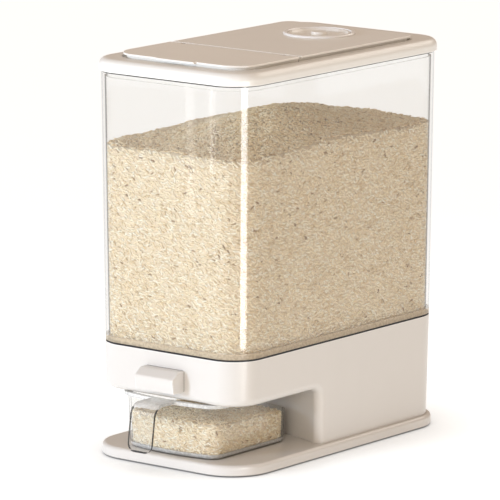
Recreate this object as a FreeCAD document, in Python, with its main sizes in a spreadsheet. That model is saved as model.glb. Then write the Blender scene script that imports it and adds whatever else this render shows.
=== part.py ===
"""Rice dispenser with a drawer cup: a clear bin on a moulded base, with a push-button shutter gate over the cup.

Millimetres. +Z is up, +X is right and the front faces -Y. The origin lies on the floor below the middle of the bin.
"""

import FreeCAD, Part
import math
import os
import Sketcher

doc = FreeCAD.newDocument("rice_dispenser")
sheet = doc.addObject("Spreadsheet::Sheet", "Sizes")

# Driving dimensions: alias, value and what it sets. Heights are measured upwards, reaches from the middle of the bin.
SIZES = (
    ("body_width", 171.8, "base and bin across, at the seam between them"),
    ("body_depth", 305.6, "base and bin front to back, at the seam"),
    ("body_corner", 30.2, "corner radius of base and bin in plan"),
    ("side_lean", 0.4, "how far each side of the base leans in at its foot"),
    ("rear_lean", 3.1, "how far the rear of the base leans in at its foot"),
    ("base_height", 94.2, "base housing, from the foot plate to the seam"),
    ("base_wall", 2.8, "wall of the base housing"),
    ("band_height", 42.2, "front band, from its lower face to the seam"),
    ("band_round", 7.0, "rounding of the band's lower edge and of the alcove's side edges"),
    ("alcove_radius", 178.0, "radius in plan of the alcove's back wall"),
    ("alcove_reach", 15.0, "middle of the alcove's back wall, in front of the middle of the bin"),
    ("alcove_round", 8.0, "rounding between the alcove's back wall and its ceiling"),
    ("plate_thick", 10.0, "foot plate"),
    ("plate_side_margin", 5.05, "foot plate beyond the base at each side"),
    ("plate_end_margin", 5.2, "foot plate beyond the base at front and rear"),
    ("plate_corner", 40.8, "corner radius of the foot plate in plan"),
    ("plate_forward", 0.9, "foot plate's middle, in front of the base's"),
    ("plate_skin", 3.0, "top skin of the foot plate over its hollow underside"),
    ("plate_rib", 2.4, "ribs of the foot plate's underside"),
    ("plate_border", 18.0, "solid border of the foot plate's underside"),
    ("plate_top_round", 3.5, "rounding of the foot plate's top edge"),
    ("plate_low_round", 1.5, "rounding of the foot plate's bottom edge"),
    ("pad_lift", 1.0, "how far the rubber pads stand out of the foot plate"),
    ("pad_radius", 6.5, "rubber pads"),
    ("pad_seat", 1.4, "depth of the pads' seats"),
    ("pad_side_inset", 23.9, "corner pads, in from the sides of the base at the seam"),
    ("pad_end_inset", 13.8, "corner pads, in from the front and rear of the base at the seam"),
    ("boss_radius", 5.0, "screw bosses in the base housing"),
    ("foot_boss_height", 18.0, "bosses that the foot screws enter"),
    ("foot_boss_inset", 7.5, "front pair of foot bosses, in from the sides of the base at the seam"),
    ("foot_boss_front", 8.0, "front pair of foot bosses behind the middle of the bin"),
    ("foot_boss_rear_side", 46.0, "rear pair of foot bosses from the middle line"),
    ("foot_boss_wall_gap", 7.2, "rear pair of foot bosses, in front of the rear face at its foot"),
    ("screw_radius", 1.5, "shank of the larger screws"),
    ("screw_head_radius", 3.0, "head of the larger screws"),
    ("screw_head_thick", 1.8, "head of the larger screws"),
    ("screw_grip", 9.0, "how far a larger screw goes into its boss"),
    ("small_screw_radius", 1.1, "shank of the smaller screws"),
    ("small_head_radius", 2.1, "head of the smaller screws"),
    ("small_head_thick", 1.5, "head of the smaller screws"),
    ("screw_play", 0.05, "radial play between a screw and its hole"),
    ("seam_seal", 1.8, "black gasket between base and bin"),
    ("seal_inset", 0.4, "gaskets stand back from the faces that they part"),
    ("bin_height", 247.0, "clear bin, from its gasket to its shoulder"),
    ("bin_wall", 3.0, "wall of the clear bin"),
    ("bin_side_draft", 2.9, "how far each side of the bin leans out at the shoulder"),
    ("bin_end_draft", 2.1, "how far the front and rear of the bin lean out at the shoulder"),
    ("bin_top_corner", 31.4, "corner radius of the bin's shoulder in plan"),
    ("bin_sill", 2.6, "thick ring at the foot of the bin wall"),
    ("neck_inset", 2.2, "step in from the bin's shoulder to its neck"),
    ("neck_height", 7.5, "neck that the lid's skirt goes over"),
    ("neck_wall", 2.4, "wall of the neck"),
    ("shoulder_thick", 4.0, "height of the thick ring under the neck"),
    ("spigot_depth", 8.5, "spigot under the bin wall, down from the gasket's top"),
    ("spigot_wall", 3.0, "wall of the spigot"),
    ("fit_gap", 0.4, "gap round pieces that drop into the base housing"),
    ("flange_drop", 7.0, "top of the funnel tray's flange below the seam"),
    ("flange_thick", 2.2, "flange of the funnel tray"),
    ("flange_width", 12.0, "flange of the funnel tray"),
    ("upstand_height", 5.8, "lip of the funnel tray over its flange, inside the spigot"),
    ("tray_wall", 1.6, "lip of the funnel tray"),
    ("tray_floor", 2.5, "sloping floor of the funnel tray, measured upright"),
    ("mouth_width", 60.0, "outlet mouth across"),
    ("mouth_length", 10.0, "outlet mouth front to back"),
    ("mouth_wall", 2.0, "wall of the outlet mouth"),
    ("mouth_inset", 52.8, "middle of the outlet mouth behind the front of the base"),
    ("mouth_corner", 2.0, "corner radius of the outlet mouth"),
    ("outlet_margin", 2.0, "hole in the alcove's ceiling beyond the mouth, all round"),
    ("tray_boss_inset", 6.4, "bosses that the tray stands on, in from the sides of the base at the seam"),
    ("tray_boss_front", 62.0, "front pair of tray bosses in front of the middle of the bin"),
    ("tray_boss_rear", 96.0, "rear pair of tray bosses behind the middle of the bin"),
    ("tray_boss_radius", 4.4, "bosses that the tray stands on"),
    ("peg_length", 8.0, "pegs of the tray, in the bosses"),
    ("run_gap", 0.3, "gap between pieces that slide past each other"),
    ("gate_width", 76.0, "shutter gate across"),
    ("gate_thick", 2.1, "shutter gate"),
    ("gate_lap", 1.0, "how far the closed gate laps the mouth's front edge"),
    ("gate_tail", 7.0, "closed gate behind the mouth"),
    ("gate_tab_width", 58.0, "upturned front tab of the gate"),
    ("gate_tab_height", 12.9, "upturned front tab of the gate, from the gate's underside"),
    ("rail_width", 6.0, "guide rails of the gate"),
    ("rail_lip", 2.0, "how far a guide rail reaches over the gate"),
    ("rail_lip_thick", 2.0, "lip of a guide rail"),
    ("rail_length", 52.0, "guide rails of the gate"),
    ("rail_inset", 20.8, "front end of the guide rails behind the front of the base"),
    ("rail_screw_inset", 7.0, "rail screws from the ends of a rail"),
    ("wiper_width", 2.0, "wiper seal round the mouth"),
    ("wiper_height", 2.4, "wiper seal round the mouth"),
    ("wiper_gap", 0.15, "wiper seal over the gate"),
    ("button_width", 44.0, "push button across"),
    ("button_height", 19.5, "push button"),
    ("button_drop", 13.9, "top of the push button below the seam"),
    ("button_reach", 17.0, "push button beyond the band's face"),
    ("button_top_reach", 8.5, "flat top of the push button beyond the band's face"),
    ("button_low_reach", 15.0, "bottom edge of the push button beyond the band's face"),
    ("button_brow_drop", 6.6, "furthest line of the push button below its top"),
    ("button_wall", 2.2, "wall of the push button's cap"),
    ("button_play", 0.3, "gap round the push button in the band"),
    ("button_round", 4.0, "rounding of the push button's brow"),
    ("yoke_stop_side", 5.0, "yoke's stop beyond the button at each side"),
    ("yoke_stop_over", 0.9, "yoke's stop over the button"),
    ("yoke_stop_thick", 2.2, "yoke's stop behind the band's wall"),
    ("yoke_bar_width", 120.0, "cross bar of the yoke"),
    ("yoke_bar_thick", 3.5, "cross bar of the yoke"),
    ("yoke_bar_height", 11.4, "cross bar of the yoke"),
    ("yoke_bar_lift", 2.8, "cross bar of the yoke over the alcove's ceiling"),
    ("yoke_screw_side", 14.0, "yoke screws from the middle line"),
    ("yoke_screw_lift", 10.2, "yoke screws over the alcove's ceiling"),
    ("spring_side", 56.0, "return springs from the middle line"),
    ("spring_lift", 8.7, "return springs over the alcove's ceiling"),
    ("spring_inset", 34.8, "front of the spring stops behind the front of the base"),
    ("spring_radius", 3.1, "return springs, to the middle of the wire"),
    ("spring_wire", 0.4, "radius of the springs' wire"),
    ("spring_turns", 5.0, "turns of a return spring"),
    ("spring_stop_width", 10.0, "stops that the springs press on"),
    ("spring_stop_thick", 2.5, "stops that the springs press on"),
    ("spring_pin_radius", 1.6, "pins inside the springs"),
    ("spring_pin_length", 5.0, "pins inside the springs"),
    ("cup_half_width", 52.5, "measuring cup's half width at its foot"),
    ("cup_flare", 2.0, "how far each side of the cup leans out at the rim"),
    ("cup_front", 151.0, "front of the cup's foot, in front of the middle of the bin"),
    ("cup_rear", 33.0, "rear of the cup's foot, in front of the middle of the bin"),
    ("cup_front_radius", 210.0, "radius in plan of the cup's bowed front"),
    ("cup_front_corner", 13.0, "front corners of the cup in plan"),
    ("cup_rear_corner", 20.0, "rear corners of the cup in plan"),
    ("cup_wall", 1.8, "wall of the cup"),
    ("cup_floor", 2.2, "floor of the cup"),
    ("cup_foot_round", 5.0, "rounding of the cup's foot"),
    ("cup_play", 0.4, "gap between the cup's rim and the alcove's ceiling"),
    ("rim_thick", 3.2, "rim flange of the cup"),
    ("rim_width", 3.4, "rim flange of the cup beyond its wall"),
    ("slope_start", 100.0, "where the cup's side starts to fall, in front of the middle of the bin"),
    ("slope_end_height", 30.0, "rear wall of the cup over the foot plate"),
    ("slope_end", 7.0, "where the cup's side stops falling, in front of the cup's rear"),
    ("handle_width", 27.6, "strip handle of the cup"),
    ("handle_thick", 2.2, "strip handle of the cup"),
    ("handle_reach", 33.5, "bend of the handle beyond the cup's front"),
    ("handle_flare", 6.0, "how far the handle leans out at its tip"),
    ("handle_tip", 8.5, "tip of the handle over the foot plate"),
    ("handle_bend", 12.0, "bend of the handle, outside"),
    ("handle_corner", 8.0, "corners of the handle's tip"),
    ("lid_side_margin", 2.25, "lid beyond the bin's shoulder at each side"),
    ("lid_end_margin", 1.1, "lid beyond the bin's shoulder at front and rear"),
    ("lid_corner", 31.6, "corner radius of the lid in plan"),
    ("lid_seal", 1.0, "dark gasket between bin and lid"),
    ("rim_height", 11.6, "lid rim, from the gasket to its top"),
    ("lid_round", 7.0, "rounding of the lid's top edge"),
    ("lid_low_edge", 0.8, "chamfer of the lid's bottom edge"),
    ("skirt_gap", 0.4, "gap between the lid's skirt and the neck"),
    ("deck_gap", 0.5, "gap between the neck's top and the lid's deck"),
    ("deck_thick", 2.5, "deck of the lid under its panels"),
    ("panel_side_inset", 10.9, "lid panels, in from the sides of the base at the seam"),
    ("panel_front_inset", 16.8, "front edge of the flap, in from the front of the base at the seam"),
    ("panel_rear_inset", 29.8, "rear edge of the rear panel, in from the rear of the base at the seam"),
    ("panel_corner", 25.0, "front corner radius of the lid panels"),
    ("panel_rear_corner", 12.0, "rear corner radius of the lid panels"),
    ("panel_groove", 1.2, "groove between the panels and the rim"),
    ("panel_lift", 3.9, "top of the panels over the rim"),
    ("panel_lip", 1.8, "overhanging lip round the panels"),
    ("panel_undercut", 3.0, "how far the lip overhangs"),
    ("panel_edge", 0.7, "rounding of the panels' top edge"),
    ("panel_seam", 49.8, "seam between flap and rear panel, in front of the middle of the bin"),
    ("seam_gap", 0.8, "gap between flap and rear panel"),
    ("flap_gap", 0.3, "gap between the flap and the deck"),
    ("tab_width", 44.0, "finger tab of the flap"),
    ("tab_reach", 2.5, "finger tab beyond the flap's front edge"),
    ("fill_side_inset", 17.0, "filling opening of the lid, in from the flap's sides"),
    ("fill_front_inset", 9.0, "front edge of the filling opening, in from the flap's front edge"),
    ("fill_rear", 62.0, "rear edge of the filling opening, in front of the middle of the bin"),
    ("fill_corner", 14.0, "corner radius of the filling opening"),
    ("gasket_width", 3.0, "gasket under the flap"),
    ("gasket_depth", 3.2, "gasket under the flap"),
    ("gasket_gap", 0.3, "gap between the flap's gasket and the filling opening"),
    ("hinge_pin_radius", 1.2, "hinge pins of the flap"),
    ("hinge_pin_length", 16.0, "hinge pins of the flap"),
    ("hinge_inset", 17.0, "hinge ears of the lid, in from the flap's sides"),
    ("hinge_ear_thick", 4.0, "hinge ears of the lid"),
    ("hinge_ear_radius", 2.4, "hinge ears of the lid, round the pins"),
    ("hinge_play", 0.05, "radial play of the hinge pins in the flap"),
    ("dial_reach", 74.0, "dial behind the middle of the bin"),
    ("dial_radius", 33.5, "dial bezel, outside"),
    ("dial_bezel_width", 4.2, "dial bezel, seen from above"),
    ("dial_bezel_lift", 1.8, "dial bezel over the panel"),
    ("dial_seat", 4.0, "depth of the dial's seat in the panel"),
    ("dial_play", 0.3, "gap between the dial's disc and the bezel"),
    ("dial_dish", 2.0, "how deep the disc is dished"),
    ("dial_knob_radius", 7.0, "knob in the middle of the disc"),
    ("dial_shaft_radius", 3.0, "shaft of the disc"),
    ("dial_shaft_play", 0.05, "radial play of the shaft in the lid"),
    ("clip_radius", 5.0, "clip on the end of the shaft"),
    ("clip_thick", 1.2, "clip on the end of the shaft"),
    ("box_radius", 26.0, "desiccant box under the lid"),
    ("box_height", 16.0, "desiccant box under the lid"),
    ("box_wall", 1.6, "wall of the desiccant box"),
    ("box_ledge", 0.8, "step in the desiccant box that its cover sits against"),
    ("box_hole", 6.2, "hole in the top of the desiccant box for the clip"),
    ("slot_width", 2.2, "slots of the desiccant box's cover"),
    ("slot_length", 26.0, "slots of the desiccant box's cover"),
    ("slot_pitch", 6.0, "slots of the desiccant box's cover, from one to the next"),
)
for row, (alias, number, note) in enumerate(SIZES, start=1):
    sheet.set("A%d" % row, alias)
    sheet.set("B%d" % row, str(number))
    sheet.set("C%d" % row, note)
    sheet.setAlias("B%d" % row, alias)
doc.recompute()


def value(expression):
    """The number that an expression of the sheet's aliases stands for."""
    return float(sheet.evalExpression(expression))


# Heights of the main faces.
PLATE_LOW = "Sizes.pad_lift"
PLATE_TOP = "(Sizes.pad_lift + Sizes.plate_thick)"
SEAM = "(%s + Sizes.base_height)" % PLATE_TOP
CEILING_LOW = "(%s - Sizes.band_height)" % SEAM
CEILING_TOP = "(%s + Sizes.base_wall)" % CEILING_LOW
FLANGE_TOP = "(%s - Sizes.flange_drop)" % SEAM
FLANGE_LOW = "(%s - Sizes.flange_thick)" % FLANGE_TOP
TRAY_TOP = "(%s + Sizes.upstand_height)" % FLANGE_TOP
GATE_LOW = "(%s + Sizes.run_gap)" % CEILING_TOP
GATE_TOP = "(%s + Sizes.gate_thick)" % GATE_LOW
MOUTH_LOW = "(%s + Sizes.run_gap)" % GATE_TOP
MOUTH_TOP = "(%s + Sizes.tray_floor)" % MOUTH_LOW
BIN_LOW = "(%s + Sizes.seam_seal)" % SEAM
SHOULDER = "(%s + Sizes.bin_height)" % BIN_LOW
NECK_TOP = "(%s + Sizes.neck_height)" % SHOULDER
LID_LOW = "(%s + Sizes.lid_seal)" % SHOULDER
RIM_TOP = "(%s + Sizes.rim_height)" % LID_LOW
DECK_LOW = "(%s + Sizes.deck_gap)" % NECK_TOP
DECK_TOP = "(%s + Sizes.deck_thick)" % DECK_LOW
PANEL_TOP = "(%s + Sizes.panel_lift)" % RIM_TOP
LIP_LOW = "(%s - Sizes.panel_lip)" % PANEL_TOP
FLAP_LOW = "(%s + Sizes.flap_gap)" % DECK_TOP
CUP_RIM_TOP = "(%s - Sizes.cup_play)" % CEILING_LOW
CUP_RIM_LOW = "(%s - Sizes.rim_thick)" % CUP_RIM_TOP
BUTTON_TOP = "(%s - Sizes.button_drop)" % SEAM
BUTTON_LOW = "(%s - Sizes.button_height)" % BUTTON_TOP
BUTTON_MIDDLE = "(%s - Sizes.button_height / 2)" % BUTTON_TOP
SPRING_HEIGHT = "(%s + Sizes.spring_lift)" % CEILING_TOP
YOKE_SCREW_HEIGHT = "(%s + Sizes.yoke_screw_lift)" % CEILING_TOP
AXIS_HEIGHT = "((%s + %s) / 2)" % (FLAP_LOW, PANEL_TOP)

# Places along Y. The front face of the base stands upright.
FRONT = "(Sizes.body_depth / 2)"
FRONT_INSIDE = "(Sizes.body_depth / 2 - Sizes.base_wall)"
STOP_FRONT = "(%s - Sizes.run_gap)" % FRONT_INSIDE
BAR_FRONT = "(%s - Sizes.yoke_stop_thick)" % STOP_FRONT
BAR_REAR = "(%s - Sizes.yoke_bar_thick)" % BAR_FRONT
ARC_CENTRE = "(Sizes.alcove_reach + Sizes.alcove_radius)"
TRAVEL = "(Sizes.mouth_length + Sizes.gate_lap)"
MOUTH_REACH = "(%s - Sizes.mouth_inset)" % FRONT
RAIL_REACH = "(%s - Sizes.rail_inset)" % FRONT
SPRING_REACH = "(%s - Sizes.spring_inset)" % FRONT
BARREL = "((%s - %s) / 2)" % (PANEL_TOP, FLAP_LOW)
AXIS_REACH = "(Sizes.panel_seam + Sizes.seam_gap / 2 + %s)" % BARREL
PANEL_FRONT = "(Sizes.body_depth / 2 - Sizes.panel_front_inset)"
PANEL_REAR = "(Sizes.body_depth / 2 - Sizes.panel_rear_inset)"
FILL_FRONT = "(%s - Sizes.fill_front_inset)" % PANEL_FRONT

# Places along X.
PANEL_SIDE = "(Sizes.body_width / 2 - Sizes.panel_side_inset)"
HINGE_SIDE = "(%s - Sizes.hinge_inset)" % PANEL_SIDE
FILL_WIDTH = "(2 * (%s - Sizes.fill_side_inset))" % PANEL_SIDE


# ---------------------------------------------------------------- drawing tools


def body(label):
    """An empty PartDesign body that becomes one sub-part."""
    made = doc.addObject("PartDesign::Body", label)
    made.Label = label
    return made


def sketch(owner, name, plane="XY_Plane", right="0", along="0", out="0"):
    """A sketch on one of the body's origin planes, moved by right and along in the plane and by out along its normal."""
    made = owner.newObject("Sketcher::SketchObject", name)
    support = next(f for f in owner.Origin.OriginFeatures if f.Role == plane)
    made.AttachmentSupport = (support, [""])
    made.MapMode = "FlatFace"
    for axis, amount in zip("xyz", (right, along, out)):
        made.setExpression("AttachmentOffset.Base." + axis, amount)
    return made


def dimension(drawn, name, kind, *where, expression):
    """Adds a constraint whose value follows an expression."""
    index = drawn.addConstraint(Sketcher.Constraint(kind, *where, value(expression)))
    drawn.renameConstraint(index, name)
    drawn.setExpression("Constraints." + name, expression)


def place_point(drawn, name, edge, point, right, up):
    """Ties a point of an edge to the sketch's origin by two distances, either of which may be zero or negative."""
    for kind, axis_edge, letter, amount in (("DistanceX", -2, "x", right), ("DistanceY", -1, "y", up)):
        size = value(amount)
        if abs(size) < 1e-9:
            drawn.addConstraint(Sketcher.Constraint("PointOnObject", edge, point, axis_edge))
        elif size > 0:
            dimension(drawn, name + letter, kind, -1, 1, edge, point, expression=amount)
        else:
            dimension(drawn, name + letter, kind, edge, point, -1, 1, expression="-(%s)" % amount)


def add_rounded(drawn, name, width, depth, radius):
    """Adds a rounded rectangle about the sketch's origin."""
    half_w = value(width) / 2
    half_d = value(depth) / 2
    r = value(radius)
    start = drawn.GeometryCount
    ends = ((half_w - r, -half_d), (half_w, half_d - r), (r - half_w, half_d), (-half_w, r - half_d))
    begins = ((r - half_w, -half_d), (half_w, r - half_d), (half_w - r, half_d), (-half_w, half_d - r))
    centres = ((half_w - r, r - half_d), (half_w - r, half_d - r), (r - half_w, half_d - r), (r - half_w, r - half_d))
    for turn in range(4):
        line = Part.LineSegment(FreeCAD.Vector(*begins[turn], 0), FreeCAD.Vector(*ends[turn], 0))
        drawn.addGeometry(line)
        circle = Part.Circle(FreeCAD.Vector(*centres[turn], 0), FreeCAD.Vector(0, 0, 1), r)
        quarter = math.pi / 2
        drawn.addGeometry(Part.ArcOfCircle(circle, (turn - 1) * quarter, turn * quarter))
    for step in range(8):
        drawn.addConstraint(Sketcher.Constraint("Tangent", start + step, 2, start + (step + 1) % 8, 1))
    for edge, kind in ((0, "Horizontal"), (2, "Vertical"), (4, "Horizontal"), (6, "Vertical")):
        drawn.addConstraint(Sketcher.Constraint(kind, start + edge))
    for edge in (3, 5, 7):
        drawn.addConstraint(Sketcher.Constraint("Equal", start + 1, start + edge))
    dimension(drawn, name + "_radius", "Radius", start + 1, expression=radius)
    dimension(drawn, name + "_width", "DistanceX", start + 6, 1, start + 2, 1, expression=width)
    dimension(drawn, name + "_depth", "DistanceY", start, 1, start + 4, 1, expression=depth)
    dimension(drawn, name + "_left", "DistanceX", start + 6, 1, -1, 1, expression="(%s) / 2" % width)
    dimension(drawn, name + "_front", "DistanceY", start, 1, -1, 1, expression="(%s) / 2" % depth)


def add_circle(drawn, name, radius, right="0", up="0"):
    """Adds a circle."""
    centre = FreeCAD.Vector(value(right), value(up), 0)
    edge = drawn.addGeometry(Part.Circle(centre, FreeCAD.Vector(0, 0, 1), value(radius)))
    place_point(drawn, name + "_", edge, 3, right, up)
    dimension(drawn, name + "_radius", "Radius", edge, expression=radius)


def add_polygon(drawn, name, corners):
    """Adds a closed polygon whose corners are pairs of expressions."""
    points = [FreeCAD.Vector(value(right), value(up), 0) for right, up in corners]
    start = drawn.GeometryCount
    count = len(points)
    for step in range(count):
        drawn.addGeometry(Part.LineSegment(points[step], points[(step + 1) % count]))
    for step in range(count):
        following = start + (step + 1) % count
        drawn.addConstraint(Sketcher.Constraint("Coincident", start + step, 2, following, 1))
    for step, (right, up) in enumerate(corners):
        place_point(drawn, "%s_%d" % (name, step), start + step, 1, right, up)


def rounded(owner, name, width, depth, radius, right="0", along="0", out="0", plane="XY_Plane"):
    """A sketch that holds one rounded rectangle."""
    drawn = sketch(owner, name, plane, right, along, out)
    add_rounded(drawn, name, width, depth, radius)
    return drawn


def pad(owner, name, profile, length, both=False):
    """Pads a sketch along its normal, or half to each side."""
    made = owner.newObject("PartDesign::Pad", name)
    made.Profile = profile
    made.setExpression("Length", length)
    made.Midplane = both
    return made


def pocket(owner, name, profile, length, both=False):
    """Cuts a sketch against its normal, or half to each side."""
    made = owner.newObject("PartDesign::Pocket", name)
    made.Profile = profile
    made.setExpression("Length", length)
    made.Midplane = both
    return made


def loft(owner, name, lower, upper, cut=False):
    """A ruled loft between two sketches, added to the body or cut from it."""
    made = owner.newObject("PartDesign::SubtractiveLoft" if cut else "PartDesign::AdditiveLoft", name)
    made.Profile = lower
    made.Sections = [upper]
    made.Ruled = True
    return made


def turned(owner, name, corners, right="0", back="0"):
    """A turned solid about an upright axis at right, back. Its corners are pairs of radius and height."""
    drawn = sketch(owner, name + "_outline", "XZ_Plane", right, "0", "-(%s)" % back)
    add_polygon(drawn, name, corners)
    made = owner.newObject("PartDesign::Revolution", name)
    made.Profile = drawn
    made.ReferenceAxis = (drawn, ["V_Axis"])
    made.Angle = 360
    return made


def soften(owner, name, size, test, kind="Fillet"):
    """Rounds, or chamfers, the edges of the body that pass a test."""
    doc.recompute()
    base = owner.Tip
    found = ["Edge%d" % (n + 1) for n, edge in enumerate(base.Shape.Edges) if test(edge)]
    if not found:
        raise ValueError("no edge for " + name)
    made = owner.newObject("PartDesign::" + kind, name)
    made.Base = (base, found)
    made.setExpression("Radius" if kind == "Fillet" else "Size", size)
    return made


def level(height, *also):
    """A test for edges that lie at one height and pass the other tests."""
    at = value(height)
    return lambda e: abs(e.BoundBox.ZMin - at) < 0.02 and abs(e.BoundBox.ZMax - at) < 0.02 and all(t(e) for t in also)


def reaches(axis, low=None, high=None):
    """A test for edges that stay above low and below high along an axis."""

    def test(edge):
        near = getattr(edge.BoundBox, axis + "Min")
        far = getattr(edge.BoundBox, axis + "Max")
        return (low is None or near > value(low)) and (high is None or far < value(high))

    return test


def at_height(height, top, foot):
    """An expression between its value at the foot of the base housing and its value at the seam."""
    return "(%s + (%s - (%s)) * ((%s) - %s) / Sizes.base_height)" % (foot, top, foot, height, PLATE_TOP)


def base_outline(owner, name, height, inset):
    """The base housing's outline at a height, set in by inset. Its sides and rear lean in towards the foot."""
    width = at_height(height, "Sizes.body_width", "(Sizes.body_width - 2 * Sizes.side_lean)")
    depth = at_height(height, "Sizes.body_depth", "(Sizes.body_depth - Sizes.rear_lean)")
    middle = at_height(height, "0", "(-Sizes.rear_lean / 2)")
    return rounded(
        owner,
        name,
        "%s - 2 * (%s)" % (width, inset),
        "%s - 2 * (%s)" % (depth, inset),
        "Sizes.body_corner - (%s)" % inset,
        along=middle,
        out=height,
    )


def body_ring(owner, name, height, outer, inner):
    """A sketch of a ring along the body's outline at the seam, between two insets."""
    drawn = sketch(owner, name, out=height)
    for tag, inset in (("outer", outer), ("inner", inner)):
        add_rounded(
            drawn,
            tag,
            "Sizes.body_width - 2 * (%s)" % inset,
            "Sizes.body_depth - 2 * (%s)" % inset,
            "Sizes.body_corner - (%s)" % inset,
        )
    return drawn


def screw(owner, name, axis, place, shank, head, head_thick, length):
    """A screw whose head's underside is at place. axis is where the head points: up, down or rear."""
    plane = "XZ_Plane" if axis == "rear" else "XY_Plane"
    right, back, up = place
    spot = (right, up, "-(%s)" % back) if axis == "rear" else (right, back, up)
    outward = {"up": 1, "down": -1, "rear": -1}[axis]
    for part_name, radius, reach, way in (("head", head, head_thick, outward), ("shank", shank, length, -outward)):
        drawn = sketch(owner, "%s_%s_outline" % (name, part_name), plane, *spot)
        add_circle(drawn, part_name, radius)
        made = pad(owner, "%s_%s" % (name, part_name), drawn, reach)
        made.Reversed = way < 0


def holes(owner, name, radius, spots, height, depth):
    """Round blind holes, cut down from a height."""
    drawn = sketch(owner, name + "_outline", out=height)
    for number, (right, along) in enumerate(spots):
        add_circle(drawn, "hole_%d" % number, radius, right, along)
    return pocket(owner, name, drawn, depth)


def pillars(owner, name, radius, spots, low, length):
    """Round solids that stand on a height."""
    drawn = sketch(owner, name + "_outline", out=low)
    for number, (right, along) in enumerate(spots):
        add_circle(drawn, "pillar_%d" % number, radius, right, along)
    return pad(owner, name, drawn, length)


# ---------------------------------------------------------------- foot

FOOT_BOSSES = (
    ("(Sizes.body_width / 2 - Sizes.foot_boss_inset)", "Sizes.foot_boss_front"),
    ("-(Sizes.body_width / 2 - Sizes.foot_boss_inset)", "Sizes.foot_boss_front"),
    ("Sizes.foot_boss_rear_side", "Sizes.body_depth / 2 - Sizes.rear_lean - Sizes.foot_boss_wall_gap"),
    ("-Sizes.foot_boss_rear_side", "Sizes.body_depth / 2 - Sizes.rear_lean - Sizes.foot_boss_wall_gap"),
)
CORNER_PADS = tuple(
    (side + "(Sizes.body_width / 2 - Sizes.pad_side_inset)", end + "(Sizes.body_depth / 2 - Sizes.pad_end_inset)")
    for side in ("", "-")
    for end in ("", "-")
)
PADS = CORNER_PADS + (("0", "0"),)
SCREW_SEAT = "(%s + Sizes.plate_thick - Sizes.plate_skin)" % PLATE_LOW


def foot_plate():
    """The plate under the whole dispenser, with a ribbed underside, seats for the pads and sunk screw holes."""
    made = body("foot_plate")
    width = "Sizes.body_width + 2 * Sizes.plate_side_margin"
    depth = "Sizes.body_depth + 2 * Sizes.plate_end_margin"
    outline = rounded(made, "outline", width, depth, "Sizes.plate_corner", along="-Sizes.plate_forward", out=PLATE_LOW)
    pad(made, "slab", outline, "Sizes.plate_thick")
    soften(made, "top_edge", "Sizes.plate_top_round", level(PLATE_TOP))
    soften(made, "low_edge", "Sizes.plate_low_round", level(PLATE_LOW))
    cell_w = "(%s - 2 * Sizes.plate_border - 2 * Sizes.plate_rib) / 3" % width
    cell_d = "(%s - 2 * Sizes.plate_border - 4 * Sizes.plate_rib) / 5" % depth
    for column in (-1, 0, 1):
        for row in (-2, -1, 0, 1, 2):
            if column and abs(row) == 2:
                continue
            cell = rounded(
                made,
                "cell_%d_%d" % (column + 1, row + 2),
                cell_w,
                cell_d,
                "Sizes.plate_low_round",
                right="%d * (%s + Sizes.plate_rib)" % (column, cell_w),
                along="%d * (%s + Sizes.plate_rib) - Sizes.plate_forward" % (row, cell_d),
                out=SCREW_SEAT,
            )
            pocket(made, "hollow_%d_%d" % (column + 1, row + 2), cell, "Sizes.plate_thick - Sizes.plate_skin")
    holes(made, "head_holes", "Sizes.screw_head_radius + 0.4", FOOT_BOSSES, SCREW_SEAT, "Sizes.plate_thick")
    holes(made, "shank_holes", "Sizes.screw_radius + Sizes.screw_play", FOOT_BOSSES, PLATE_TOP, "Sizes.plate_thick")
    pillars(made, "middle_boss", "Sizes.pad_radius + Sizes.plate_rib", PADS[-1:], PLATE_LOW, "Sizes.plate_thick - 1")
    holes(made, "pad_seats", "Sizes.pad_radius", PADS, "%s + Sizes.pad_seat" % PLATE_LOW, "Sizes.pad_seat + 1")
    return made


def foot_pads():
    """Five rubber pads that the dispenser stands on, one of them under its middle."""
    made = body("foot_pads")
    pillars(made, "pads", "Sizes.pad_radius - Sizes.screw_play", PADS, "0", "Sizes.pad_lift + Sizes.pad_seat")
    soften(made, "pad_edges", "Sizes.pad_lift / 2", level("0"))
    return made


def foot_screws():
    """Screws that hold the foot plate to the base housing, heads down."""
    made = body("foot_screws")
    for number, (right, back) in enumerate(FOOT_BOSSES):
        screw(
            made,
            "screw_%d" % number,
            "down",
            (right, back, SCREW_SEAT),
            "Sizes.screw_radius",
            "Sizes.screw_head_radius",
            "Sizes.screw_head_thick",
            "Sizes.plate_skin + Sizes.screw_grip",
        )
    return made


# ---------------------------------------------------------------- base housing

TRAY_BOSSES = tuple(
    (side + "(Sizes.body_width / 2 - Sizes.tray_boss_inset)", along)
    for side in ("", "-")
    for along in ("-Sizes.tray_boss_front", "Sizes.tray_boss_rear")
)
SPRINGS = ("Sizes.spring_side", "-Sizes.spring_side")
YOKE_SCREWS = ("Sizes.yoke_screw_side", "-Sizes.yoke_screw_side")
RAIL_MIDDLE = "(Sizes.gate_width / 2 + Sizes.run_gap + Sizes.rail_width / 2)"
RAIL_SCREWS = tuple(
    (side + RAIL_MIDDLE, along)
    for side in ("", "-")
    for along in (
        "-(%s - Sizes.rail_screw_inset)" % RAIL_REACH,
        "-(%s - Sizes.rail_length + Sizes.rail_screw_inset)" % RAIL_REACH,
    )
)


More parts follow.
